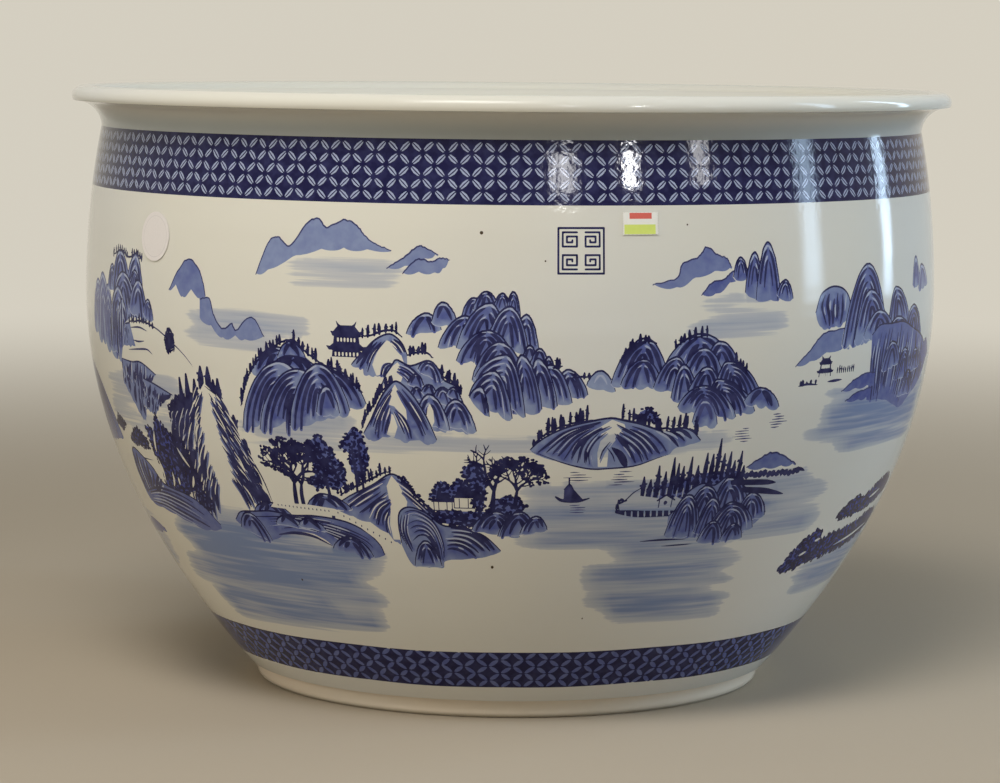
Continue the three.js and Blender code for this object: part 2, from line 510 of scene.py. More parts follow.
# a rock face of nearly upright strokes between a ridge and a foot
def cliff(top, base, gap=2.6, width=1.5, dark=0.85):
    t, b = curve(top), curve(base)
    steps = np.abs(np.sin(np.linspace(0, len(base) * 2.5, len(b))))[:, None] * [0, 1.6]
    cut, _, _, d = cleared(np.vstack([t, (b + steps)[::-1]]), 0.4, 0.5)
    layFill(cut, d, 0.45)
    strokeMm(t, 1.2, tone=dark, start=0.6, end=0.6)
    n = max(int(np.hypot(*(t[-1] - t[0])) / gap), 2)
    for i in range(n):
        share = (i + vary(0.15, 0.85)) / n
        a, e = (p[int(share * (len(p) - 1))] for p in (t, b))
        cuts = sorted((vary(0, 0.25), vary(0.35, 0.65), vary(0.5, 1)))
        for u0, u1 in ((cuts[0], cuts[1]), (cuts[1] + 0.06, cuts[2])):
            if u1 - u0 < 0.1:
                continue
            p0, p1 = a + (e - a) * u0, a + (e - a) * u1
            p = spline([p0, (p0 + p1) / 2 + [vary(-0.5, 0.5), 0], p1], 5)
            if rng.random() < 0.4:
                strokeMm(p + [width * 0.9, 0], width * 0.6, lay=wipe)
            strokeMm(p, width * vary(0.7, 1.5), tone=dark - vary(0, 0.15), start=0.2, end=0.3)


# brush strokes laid between two guide lines: dark, mid blue and pale by turns
def comb(outer, inner, count, width, start=(0, 0.2), stop=(0.78, 1)):
    def spaced(points):
        p = curve(points)
        steps = lengths(p)
        t = np.linspace(0, steps[-1], 24)
        return np.stack([np.interp(t, steps, p[:, 0]), np.interp(t, steps, p[:, 1])], 1)

    a, b = spaced(outer), spaced(inner)
    gap = np.hypot(*(a - b).T).mean() / count
    for k in range(count + 1):
        if 0 < k and rng.random() < 0.85:
            q = a + (b - a) * (k / count)
            q = q[int(len(q) * vary(0, 0.4)):int(len(q) * vary(0.55, 1))]
            if len(q) > 3:
                strokeMm(q, min(gap * vary(0.24, 0.42), 1.9), lay=wipe, start=0.3, end=0.25)
        if k == count:
            break
        path = a + (b - a) * ((k + 0.5) / count) + [vary(-0.16, 0.16) * gap, 0]
        path = path + np.sin(np.linspace(0, vary(3, 8), len(path)) + vary(0, 6))[:, None] * [0.12 * gap, 0]
        path = path[int(len(path) * vary(*start)):int(len(path) * vary(*stop)) + 1]
        if len(path) < 4:
            continue
        thick = gap * width * vary(0.65, 1.3)
        if rng.random() < 0.8:
            strokeMm(path - [0, 0.3 * gap], thick * 1.8, tone=midBlue, lay=layFill, start=0.3, end=0.5)
        strokeMm(path, thick, tone=darkInk - vary(0, 0.1), start=0.25, end=0.4, peak=vary(0.35, 0.7))
        if rng.random() < 0.5:
            half = path[len(path) // 3:] + [vary(-0.6, 0.6) * gap, vary(-1, 1)]
            strokeMm(half, min(1.0, gap * 0.25), tone=darkInk - 0.08, start=0.1, end=0.3)


# a rock's pale body between its crest line and its foot, with a dark line along the crest
def rock(top, foot, tone, tintIn=0.85, edge=1.25, drip=1.4):
    t, b = curve(top), curve(foot)
    b[:, 1] -= np.abs(np.sin(np.linspace(0, len(foot) * 1.55, len(b)))) ** 0.6 * drip
    cut, _, _, d = cleared(np.vstack([t, b[::-1]]), painting["halo"], tintIn)
    layFill(cut, d, tone)
    strokeMm(t, edge, tone=darkInk, start=0.5, end=0.5)


# a leafy crown: rounded dabs with the mid blue showing between them
def foliage(outline, leaf=1.2, gap=2.3, under=0.85):
    p = toMm(outline)
    cut, x, y = window(p, fieldLimit)
    layFill(cut, polygonDistance(p, x, y) - 0.7, under)
    lo, hi = p.min(0), p.max(0)
    for gx in np.arange(lo[0], hi[0], gap):
        for gy in np.arange(lo[1], hi[1], gap * 0.8):
            q = np.array([gx + vary(-0.6, 0.6) * gap, gy + vary(-0.5, 0.5) * gap])
            if depthAt(p, q) > -0.5 and rng.random() < 0.9:
                blob(*q, leaf * vary(0.75, 1.35), leaf * vary(0.55, 1.0), tone=treeInk, turn=vary(-0.7, 0.7))


# a dense stand of trees: a ragged dark mass of dabs with pale gaps between trunks and boughs
def thicket(outline, gaps):
    p = toMm(outline)
    lo, hi = p.min(0), p.max(0)
    cut, x, y = window(p, fieldLimit)
    inner = polygonDistance(p, x, y)
    layInk(cut, inner - 0.8, treeInk)
    tint[cut] = np.where(inner > 0, 0.5, tint[cut])
    for _ in range(int((hi - lo).prod() * gaps / 5)):
        q = lo + (hi - lo) * np.array([rng.random(), rng.random()])
        if depthAt(p, q) < 1:
            continue
        if rng.random() < 0.6:
            strokeMm([q, q + [vary(-0.5, 0.5), vary(1.6, 3.6)]], vary(0.6, 1.0), lay=wipe, start=0.6, end=0.5)
        else:
            strokeMm(spline([q, q + [1.2, 0.9], q + [2.4, 0.1]], 4), vary(0.5, 0.8), lay=wipe, start=0.4, end=0.4)
    for a, b in zip(p, np.roll(p, -1, 0)):
        n = int(np.hypot(*(b - a)) / 1.3) + 1
        for i in range(n):
            q = a + (b - a) * (i + rng.random()) / n
            blob(q[0], q[1] + vary(-0.5, 0.8), vary(0.6, 1.3), vary(0.7, 1.6), tone=treeInk)


bands = {
    "upper": dict(low=344, high=384, petalRows=5, perRow=236, border=1.2, reach=0.42, width=3.3, slit=0.8, pale=1.0,
                  under=0, slack=0),
    "lower": dict(low=24, high=51, petalRows=5, perRow=166, border=0.4, reach=0.42, width=3.2, slit=0, pale=0,
                  under=0.75, slack=1),
}


# a dark band of petals that lean alternately, each cut out of the ink
def petalBand(low, high, petalRows, perRow, border, reach, width, slit, pale, under, slack):
    r0 = max(int(round((low - paintLow) / pixelMm)) - 3, 0)
    r1 = min(int(round((high - paintLow) / pixelMm)) + 4, rows)
    x = np.arange(columns)[None, :] / columns * 2 * np.pi
    y = paintLow + np.arange(r0, r1)[:, None] * pixelMm
    cut = (slice(r0, r1), slice(0, columns))
    wobble = slack * (0.3 * np.sin(5 * x) + 0.25 * np.sin(13 * x + 1))
    inside = np.minimum(y - low - wobble, high - y + (wobble if slack else 2 + 0 * x))
    layInk(cut, inside, painting["bandInk"])
    tint[cut] = np.where(inside > 0.3, pale, 0)
    if under:
        layFill(cut, inside - 0.4, under)
    step = 360 * mmPerDegree / perRow
    rise = (high - low - 2 * border) / petalRows
    share = np.array([-1, -0.55, 0, 0.55, 1])[:, None]
    for j in range(petalRows):
        for i in range(perRow):
            centre = np.array([(i + 0.5) * step + vary(-0.2, 0.2), low + border + (j + 0.5) * rise + vary(-0.2, 0.2)])
            lean = 1 if (i + j) % 2 else -1
            tip = reach * np.array([step * vary(0.93, 1.07), rise * lean * vary(0.93, 1.07)])
            bow = vary(-0.25, 0.25)
            p = centre + share * tip + (1 - share ** 2) * [-bow * lean, bow]
            cut, xx, yy = window(p, 2.2)
            petal = -strokeDistance(p, width / 2 * np.array([0.02, 0.72, 1, 0.72, 0.02]), xx, yy)
            if slit:
                petal = np.maximum(petal, strokeDistance(p, slit / 2 * np.array([0.5, 1, 1, 1, 0.5]), xx, yy))
            ink[cut] = np.clip(np.minimum(ink[cut], petal), -fieldLimit, fieldLimit)


fret = {
    "panel": (5.75, 11.3, 302.3, 330.3),     # left and right in degrees, bottom and top in mm
    "key": [0.16,0.84, 0.84,0.84, 0.84,0.16, 0.16,0.16, 0.16,0.64, 0.64,0.64, 0.64,0.36, 0.38,0.36, 0.38,0.46],
    "inset": 0.04,
    "share": 0.92,
    "tone": 0.95,
    "border": 1.3,
    "line": 1.25,
}


# a square panel with four turned keys, in place of a written seal
def fretSquare():
    left, right, low, high = fret["panel"]
    inset, share = fret["inset"], fret["share"]

    def line(points, width):
        strokeMm(toMm(points), width, tone=fret["tone"], start=1, end=1)

    line([left,low, right,low, right,high, left,high, left,low], fret["border"])
    w, h = (right - left) / 2, (high - low) / 2
    for i in (0, 1):
        for j in (0, 1):
            key = [(x if i else 1 - x, y if j else 1 - y) for x, y in pairs(fret["key"])]
            spots = [(left + (i + inset + share * x) * w, low + (j + inset + share * y) * h) for x, y in key]
            line(spots, fret["line"])


# a hall with two broad eaves whose tips turn up, pale slits between the posts, and a ridge with horns
def pagoda(deg, z, width):
    x = across(deg)
    h = width * 0.15
    inkShape(scaled(x, z, width, h, [-0.36,0, 0.36,0, 0.28,4, -0.28,4]))
    for base, w, tall in ((0.9, width, h), (3, width * 0.78, h * 1.15)):
        eave = [0.5,0.75, 0.4,0.7, 0.25,1.5, -0.25,1.5, -0.4,0.7, -0.5,0.75, -0.43,0.1, 0.43,0.1]
        inkShape(scaled(x, z + h * base, w, tall, eave))
    for side in (-1, 1):
        strokeMm(scaled(x, z, side * width, h, [0.12,4.6, 0.2,4.8, 0.25,5.4]), 1.4, tone=darkInk)
    for row, half, count in ((0.4, 0.31, 7), (2.55, 0.24, 6)):
        for k in range(count):
            px = x + width * half * (2 * (k + 0.5) / count - 1)
            strokeMm([px, z + h * row - 0.6, px, z + h * row + 0.8], 1.25, lay=wipe, start=1, end=1)


def farDistance():
    washBand(-46, -25, 250, 270, 0.5)
    washBand(-32, -8, 292, 312, 0.45)
    washBand(22, 38, 262, 286, 0.45)
    farHill([-48,283, -46,297, -44.2,304, -42.5,299, -41.5,290, -41,281],
        [-48,282, -46.6,286, -45.2,279, -43.6,284, -42,279, -41,279], tone=0.62)
    farHill([-42,279, -40.3,280, -39.5,269, -38,261, -36.6,265, -35.8,261, -33.4,270, -31.5,258],
        [-42,266, -40,262, -38,255, -36,257, -34.5,255, -31.5,258], tone=0.5)
    farHill([-32.8,297, -31,318, -29.7,321, -28,316, -25.5,331, -24,333, -23,328, -20.8,333, -19,330, -18,324,
        -16.5,319, -14.5,315], [-32.8,297, -31,300, -27.5,309, -24,314, -21,315, -18,315, -14.5,315], tone=0.36)
    farHill([-15,304, -13.2,310, -11.5,317, -10.6,318, -8.7,313], [-15,304, -12.4,306, -10,311, -8.7,313], tone=0.4)
    farHill([-13,301, -12,307, -11,310, -9.6,309, -8.3,311, -7.3,310], [-13,301, -11,302, -9,302, -8,305, -7.3,310],
        tone=0.45)
    farHill([17.4,295, 20.5,299, 21.3,308, 23.5,312, 24.5,318, 26,313, 27.2,311, 28,305],
        [17.4,295, 20.5,293, 23,299, 26,303, 28,304], tone=0.6)
    farHill([23.8,288, 25.3,296, 27,298, 28.3,303, 30.2,303], [23.8,288, 26,289, 28,296, 30.2,299], tone=0.85,
        edge=1)
    folds([(28.2,299, 29.3,311, 30.4,299), (29.9,289, 31.4,314, 32.7,286), (31.5,284, 33.4,320, 35.3,285, 2),
        (34.7,287, 36.1,296, 37.3,284)], strokes=2, width=1.6, tone=0.55, depth=3)
    folds([(65,285, 66.5,304, 68,287), (67.5,282, 69,298, 72.5,284)], strokes=1, width=1.4, dark=0.7, tone=0.35)


def betweenLandscapes():
    farHill([81,262, 82.4,270, 84.2,277, 86,270, 88,274, 91.4,262], [81,262, 84,265, 87,261, 91.4,262], tone=0.5)
    washBand(81, 92, 236, 256, 0.45)
    washBand(80.5, 93, 120, 148, 0.5)
    boat(86, 150, 22)


def leftCrags():
    folds([(-72.2,250, -69.5,283, -66,246), (-70,246, -67.3,288, -63,240), (-66.5,242, -65,281, -62,235)], strokes=3,
        width=1.5, dark=0.62, tone=0.26, depth=5)
    folds([(-64.8,280, -63.3,295, -61.8,280), (-63.2,280, -60.8,305, -57.4,282), (-58.4,284, -56,304, -53.7,270),
        (-57.8,280, -56.2,293, -54.6,280), (-63.6,262, -59.6,291, -55,262, 3), (-57.6,268, -55.2,287, -52.8,262),
        (-53.9,266, -52.7,275, -51.5,262), (-64.6,238, -61.2,281, -57.6,242, 3), (-62,232, -59.8,273, -57.6,240, 2)],
        strokes=2, width=2.0, tone=0.45, depth=4)
    pineRow([-63,301, -60.5,305, -58,301, -56,304, -54.4,300], height=(2, 4.5))
    comb([-63.8,276, -64.2,256, -64.4,238], [-59.6,276, -59.8,256, -60.4,242], 6, width=0.5, start=(0.1, 0.4))
    # white hill with contour lines, and the dark slope under it
    bare([-60.3,240, -59,257, -57,262, -52,260, -48,250, -43.5,233, -46,224, -50,213, -56,213, -61,233], 0.6)
    cliff([-59,257, -57.6,258], [-60.2,241, -56.4,242], gap=2.0, width=1.4)
    stroke([-58,259, -54,260, -51,257, -48,250, -45.4,242, -43.4,233], 1.0, tone=0.8)
    stroke([-57.6,255, -55,256, -53,254], 1.3, tone=0.8)
    stroke([-57,247, -55.5,246.5, -53.8,247.5], 1.3, tone=0.8)
    stroke([-58.5,240, -55.5,241.5, -53.4,242, -52.1,239], 1.3, tone=0.8)
    pineRow([-57.8,259, -54,260, -51.4,257], height=(2.5, 5))
    thicket([-48.7,242, -49.2,250, -48.3,258, -47.3,254, -47.2,245], gaps=0.02)
    cliff([-61,233, -58,232, -56,233, -54.3,231, -52,226], [-61.6,216, -59.6,205, -57.6,193, -56.4,196, -55.4,214],
        gap=2.2, width=1.9, dark=0.9)
    cliff([-55.3,222, -53,220, -50.8,217, -48.8,214], [-56.4,203, -55,199, -53.4,199, -51.6,208], gap=2.2, width=1.8,
        dark=0.9)
    # far left shore
    folds([(-86,168, -79.5,224, -68,176, dict(strokes=6, tone=0.7, width=3.4, dark=0.9))])
    farHill([-76,110, -72,118, -66,114], [-76,108, -71,109, -66,112], tone=0.95)
    thicket([-68.7,186, -67.2,193, -64.6,187, -66.5,182], gaps=0.02)


def snowPeak():
    for deg, low, high in ((-49.2, 196, 210), (-48.2, 190, 214), (-46.8, 196, 226), (-45.4, 205, 229),
        (-43.9, 210, 226), (-42.5, 222, 235), (-41.2, 221, 235), (-40.4, 214, 227), (-39.6, 211, 228),
        (-37.6, 196, 205)):
        x = across(deg)
        strokeMm([[x - 0.4, low], [x, (low + high) / 2], [x + 0.3, high]], 6.0, tone=treeInk, start=0.9, end=0.35,
            peak=0.3)
        for _ in range(9):
            blob(x + vary(-3.4, 3.4), vary(low, low + (high - low) * 0.7), vary(0.8, 1.4), vary(0.7, 1.2))
    thicket([-50.4,172, -50.2,206, -47.5,214, -44.4,216, -45.8,196, -48.2,170], gaps=0.03)
    body = toMm([-50,140, -49.5,172, -45.5,204, -42,224, -39,213, -36.8,188, -34.6,165, -33.8,146, -38,138, -43,134])
    bareMm(body)
    ridge = [-42.1,222, -43.4,196, -43.1,166, -43,138]
    slopes(ridge, [-44.6,214, -50.4,178, -50,152, -47.5,134], side=-1)
    stroke([-42,223, -39,213, -36.8,188, -34.6,165, -33.8,147], 1.5, tone=0.95)
    slopes([-41.7,221, -40.9,196, -40.6,168, -40.2,146], [-38.6,208, -36.6,184, -35,160, -34,144], side=1)


def roundHill():
    washBand(-37, -18, 190, 206, 0.5)
    folds([(-33.8,236, -29.4,252, -26.4,242, 2), (-29.6,246, -27.8,256, -25.6,246, 1),
        (-31,238, -27.6,247, -23.6,238, 2), (-36.2,198, -29.4,243, -25.5,224, dict(strokes=5, sides="left")),
        (-33.4,198, -26.8,239, -22.6,218, dict(strokes=5, sides="left")), (-25.4,214, -22.5,241, -17.8,219, 3),
        (-28.6,202, -23.9,243, -20,214, 4), (-24.6,212, -23,229, -21.4,212, dict(strokes=1, tone=0.25))], width=3.4,
        tone=0.25, depth=4)
    pineRow([-36,212, -34.4,231, -32.5,243, -30.5,251, -27.6,257, -25.4,249, -23.4,243, -20.6,236, -18.2,226],
        height=(4, 7.5))


def middleHills():
    pagoda(-20.1, 248, 28)
    pineRow([-18.4,261, -16.5,263, -14.4,266, -13,262], height=(3, 6.5))
    rock([-19.5,243.5, -18.9,247, -17.6,253.5, -16.7,258.3, -15.6,262, -14.5,263.5, -13.6,261, -12.9,257, -12.4,251],
        [-19.5,243, -18.1,242.5, -17.9,238.5, -16.8,237.5, -16,238, -14.4,240, -12.4,246], tone=0.3, tintIn=0.25)
    bare([-14.9,259.6, -16,252, -16.8,244, -16.3,237, -14.2,240, -12.8,246, -13.2,252, -14,257.5])
    comb([-16.6,258.5, -17.7,252, -19.1,244], [-14.9,259.5, -16.3,250, -17.1,238.5], 4, width=0.75, start=(0, 0.1))
    comb([-14.2,262, -13,257.5, -12.4,251.5], [-14.5,258.5, -13.6,254, -13,249.5], 2, width=0.85)
    comb([-14.1,246.2, -15.3,244.8, -15.8,240, -15.9,236.5], [-14.2,245, -14.9,241, -15.4,235], 2, width=0.9)
    rock([-15.7,231, -15.1,238, -14.3,244, -13.7,247.5, -12,244, -9.9,247.5, -8.8,244, -8,236, -6.4,231.5, -5.8,224,
        -5,214, -4,204], [-15.7,230, -13,222, -9.8,206, -8,203.5, -7.4,204.5, -6,204, -5,202.5, -4,203.5], tone=0.25)
    bare([-15.6,229, -15,238, -14.2,243.6, -13.6,246, -12.8,240, -13.2,234, -14,232])
    comb([-13.6,246.6, -12,243.5, -10.8,238, -10,232], [-13.8,240, -12.8,237, -12.2,233, -12,229], 4, width=0.6)
    blob(across(-14.4), 235.4, 1.0, 2.4)
    folds([(-11.1,242, -9.9,247.5, -8,235, 2), (-12.4,233, -11.3,239, -10.4,232, 1),
        (-12.2,224, -11.3,230.5, -10.4,225, 1), (-10.7,228, -9.7,232.5, -8.8,226, 1),
        (-9.2,225, -8.1,231, -6.7,221, 2), (-7.6,227, -6.8,231, -5.9,224, 1), (-8.3,210, -6.6,223.5, -4,203.5, 2),
        (-11.4,211, -9.8,226.5, -7.3,204, 2)], width=2.6, depth=2.5, tone=0.25)
    bare([-10.2,210, -10,218, -9.7,220.5, -9.3,216, -9.2,209, -9.5,206])
    pineRow([-12.4,250, -11.6,252, -10,252.5, -9.2,249], height=(2.5, 6))
    pineRow([-8.2,238, -7,235, -6.2,232, -5.8,227], height=(3, 7))
    rock([-18.4,200, -17.3,209, -16.2,220, -15.2,228, -13.9,234, -12.4,229, -11.2,221, -10,210, -9,197.5],
        [-18.4,200, -17.4,196, -15.5,199, -14.4,199, -13,196, -11.6,198, -10,195, -9,197.5], tone=0.3, tintIn=0.2)
    bare([-14,232, -15,224, -14.9,219, -14.2,218, -13.2,212, -12.6,207, -12.7,216, -13.2,224])
    bare([-14.7,214, -15.2,206, -15.4,200, -14.4,198, -13.9,205, -14.3,212])
    comb([-14.2,231.5, -15.7,222, -17.2,210, -18.2,200], [-14.6,224, -15.5,214, -16.1,206, -16.3,197], 4, width=0.72,
        start=(0, 0.12))
    comb([-13.5,232.5, -12,223, -10.6,211, -9.2,198], [-13.8,227.5, -12.6,217, -11.6,208, -11,197], 3, width=0.8,
        start=(0, 0.1))
    comb([-14.3,217.8, -13.1,212, -12.3,205, -11.9,197], [-14.4,215, -13.8,208, -13.4,203, -13.1,196], 3, width=0.8)
    comb([-14.9,220, -15.7,211, -16.1,203, -16.3,198], [-14.6,214, -14.8,208, -15.3,203, -15.6,198], 2, width=0.6)
    pineRow([-18.6,203, -17.8,212, -16.7,219, -16,226, -14.4,233], height=(3, 6))
    folds([(-12.5,264, -10,277, -8.2,267), (-9.4,272, -8.1,284, -6.2,270)], strokes=1, width=2.2, depth=2, tone=0.25)


def centralMass():
    folds([(-5.8,275, -4.3,287, -2.7,279), (-4.4,280, -2.8,291, -1.4,282), (-1.9,282, -0.9,290, 0.1,280),
        (-0.4,280, 0.4,291, 1.3,275)], strokes=2, width=1.7, depth=2)
    folds([(-8.6,256, -5.2,276, -3.7,262, 2), (-6.4,256, -2.3,284, -0.6,266, 3), (0.4,258, 2,277, 3.5,255, 2),
        (-2.8,258, 0,282, 2.3,254, 3), (1.5,248, 2.4,258, 3.3,249, 1), (2.5,246, 3.6,256, 4.7,246, 1),
        (4,241, 4.7,251, 5.5,240, 1), (5.6,226, 7,243, 9.6,227, 2), (-6.4,248, -2.6,267, 0.6,250, 3),
        (3.4,223, 4.8,246, 7.7,222, 2), (2.2,221, 3.3,250, 5.9,220, 2), (-4.5,236, -1.2,260, 1.8,238, 3),
        (0.2,217, 1.4,252, 4,218, 3), (-4.2,238, -0.4,252, 2,213, 4), (-4.9,226, -1.9,242, 0.4,212, 3),
        (-4.8,225, -3.5,232, -2.4,213, 1)], width=3.0, depth=3, tone=0.25)
    pineRow([5.2,244, 6.4,245], height=(3, 6))
    pineRow([7.6,238, 9.8,238], height=(1.5, 3))
    fold([9.4,233, 11,242, 13,229], strokes=0, tone=0.12)


def rightHills():
    folds([(12.4,234, 16.6,262, 19.6,236, 3), (13.6,233, 16.4,249, 18.8,233, 2), (18.9,242, 23.8,264, 28.6,243, 2),
        (24.4,242, 26.4,259, 29.8,236, 2), (21.5,238, 24.3,255, 27,238, 2), (17.8,231, 20.7,250, 22.8,228, 3),
        (20.2,224, 21.6,245, 23.8,221, 2), (26,226, 27.6,246, 33.2,221, 4), (22.4,226, 24.9,243, 27,226, 2),
        (25,214, 26.4,235, 32.4,213, 4), (30.6,220, 32.8,228, 36.2,215, 1), (21.2,218, 24.4,231, 29.6,210, 4),
        (23.4,208, 24.8,222, 27,206, dict(strokes=1, tone=0.2, dark=0.6))], width=2.8, depth=3, tone=0.3)
    pineRow([13.6,247, 14.8,256, 16.6,260, 18,259], height=(3, 5.5))
    pineRow([20.4,256, 22,261, 24.8,263], height=(3, 6))
    pineRow([28.8,246, 30.6,238], height=(3, 6))
    ripples(36.2, 210, 17, 6)
    ripples(31.2, 202, 15, 6)


def farRight():
    rock([41.2,274, 42,284, 43,288, 44.6,290, 46.4,288, 47.6,282, 47.8,274],
        [41.4,270, 42.6,264, 44.4,265, 46,265, 47.7,272], tone=0.35)
    comb([42.2,285, 41.8,277, 42.6,265], [47,286, 46.8,277, 46.4,266], 5, width=0.5)
    farHill([38.2,240, 40.5,250, 42.8,260, 46,262, 48,262], [38.2,240, 41,243, 44,248, 48,249], tone=0.55)
    folds([(46.4,252, 51.9,303, 56.4,258, 5), (57,260, 59.2,286, 64,262, 3), (49,254, 52.4,286, 57,258, 3),
        (62,250, 65.5,272, 70,246, 3), (51,256, 54.6,272, 59.4,252, 2), (56,246, 60,266, 66,244, 3)], width=2.4,
        depth=4)
    rock([53,256, 55,262, 58,262, 62,262, 66,256, 70,250, 73,241, 75,230],
        [53.6,213, 57,212.5, 60,210, 64,204, 66,205, 68,210, 71,215, 73.6,222, 75,229], tone=0.75, drip=0.8)
    comb([53.6,258, 53,240, 53.8,213], [59.6,262, 58.6,240, 58.4,212], 8, width=0.55, start=(0, 0.3))
    comb([60,262, 59.6,240, 59.4,211], [66.6,256, 66,232, 65,206], 8, width=0.6, start=(0, 0.4))
    comb([67,256, 67.4,236, 66.6,209], [73,240, 73.4,232, 72,221], 7, width=0.6, start=(0, 0.3))
    folds([(56.4,232, 58.8,250, 61.6,236, 2), (60.6,224, 63.2,244, 66.4,226, 3), (65.4,226, 67.6,242, 70.6,230, 2),
        (63,212, 65.6,228, 69,213, 3)], width=2.4, tone=0.5, depth=2)
    farHill([47.4,221, 50,228, 52.5,231, 54.8,231], [47.4,221, 51,222, 54.8,223], tone=0.9, edge=1)
    farHill([48.6,214, 51,219, 54.4,221], [48.6,214, 52,214, 54.4,215], tone=0.95, edge=1)
    pagoda(43.6, 232, 17)
    for deg in np.arange(46, 49.4, 0.42):
        pine(across(deg), 234.5, vary(2, 4), 1.5)
    stroke([39,227, 40.6,228, 42.6,227], 1.6)
    stroke([44.3,228.5, 47.2,229], 2.0)
    pineRow([39,228, 42.6,229], height=(1, 3), bush=0)
    farHill([71,238, 73.5,246, 76.4,236], [71,236, 74,228, 76.4,235], tone=0.9, edge=1)
    foliage([46,99, 47.4,112, 50,121, 52,127, 53.6,124, 54,117, 56,120, 60,122, 66,126, 71,131, 74,128, 75.6,122,
        73,114, 66,108, 58,104, 52,100, 48,96], leaf=1.7, gap=2.5, under=1)
    foliage([55.6,133, 58,141, 60,145, 63,143, 67,150, 71,155, 74,151, 75.4,145, 73,139, 70,136, 62,130, 57,129],
        leaf=1.6, gap=2.4, under=1)
    for row in ([50,108, 51.6,110], [52.6,117, 54,118], [60,110, 66,114, 72,119], [57,124, 61,127], [66,140, 70,144]):
        stroke(row, 2.0, lay=wipe)


def island():
    pineRow([2.9,191, 3.8,199, 5.4,204, 8,209, 11.5,211.5], height=(4, 10), width=(1.8, 2.8), gap=3.2)
    pineRow([13.6,211, 16,209, 18,205, 21,204, 23.4,203, 24.4,200], height=(5, 10), width=(1.8, 2.8), gap=3.0)
    foliage([15.6,209, 16.2,216, 17.4,219, 18.6,215, 19.4,208], gap=1.9)
    rock([2.7,192, 3.7,197, 5.4,202.5, 7.6,207, 10,210, 12.6,212, 14.2,210.5, 16.4,208, 18.7,204, 20.4,202, 22,204.5,
        23.6,202, 24.9,196], [2.8,191, 4,188, 6.5,184, 9,180.5, 11,179, 13.5,180, 15.4,180.5, 17,182, 19,185.5,
        20.8,188, 21.4,191.5, 23,193, 24.9,195.5], tone=0.3, drip=0.5, edge=1.4)
    bare([12.8,211, 11.4,206.5, 11.6,200, 11.2,190, 11.4,180.5, 12.6,180.5, 12.6,192, 13.6,199, 14.8,203, 14.4,208])
    comb([11.2,210, 7,204, 4.6,196, 3.2,191], [12.2,205, 11.2,199, 10.4,190, 10.8,180.5], 9, width=0.62,
        start=(0, 0.25), stop=(0.9, 1))
    comb([14.2,209.5, 17.4,204, 19.6,196, 20.8,189], [13.4,199, 14.4,194, 15.4,188, 16,181.5], 6, width=0.65,
        start=(0, 0.2), stop=(0.9, 1))
    comb([20.6,203.5, 22.8,202, 24.7,196], [18.6,203, 20.4,198, 21.4,191], 3, width=0.6)
    stroke([13,193, 14.2,188, 15,181.5], 5.2, tone=0.94, start=0.1, end=0.6, peak=0.7)
    for path, wide in (([12.6,207, 10.6,202, 8.8,194, 8,186], 1.5), ([12.2,203, 10.8,197, 10,189, 9.8,182], 1.3),
        ([13.4,208, 15.2,203, 17,198], 1.4), ([12.8,197, 11.9,191, 11.5,184], 1.0),
        ([13.2,202, 14.6,197, 15.4,192], 1.2), ([12.4,193, 13.2,188, 13.6,183], 0.9)):
        stroke(pairs(path) + [0.15, -1], wide * 2, tone=0.4, lay=layFill)
        stroke(path, wide, tone=0.9)
    stroke([2.9,191, 6.5,184, 9,180.5, 11,179, 13.5,179.5, 15.4,180, 17,181.5, 19,185, 20.8,187.5], 1.1, tone=0.93)
    ripples(9, 177, 19, 4, tone=0.75)
    ripples(14.6, 177, 19, 6, tone=0.75)
    ripples(3.6, 184, 11, 6, tone=0.8)


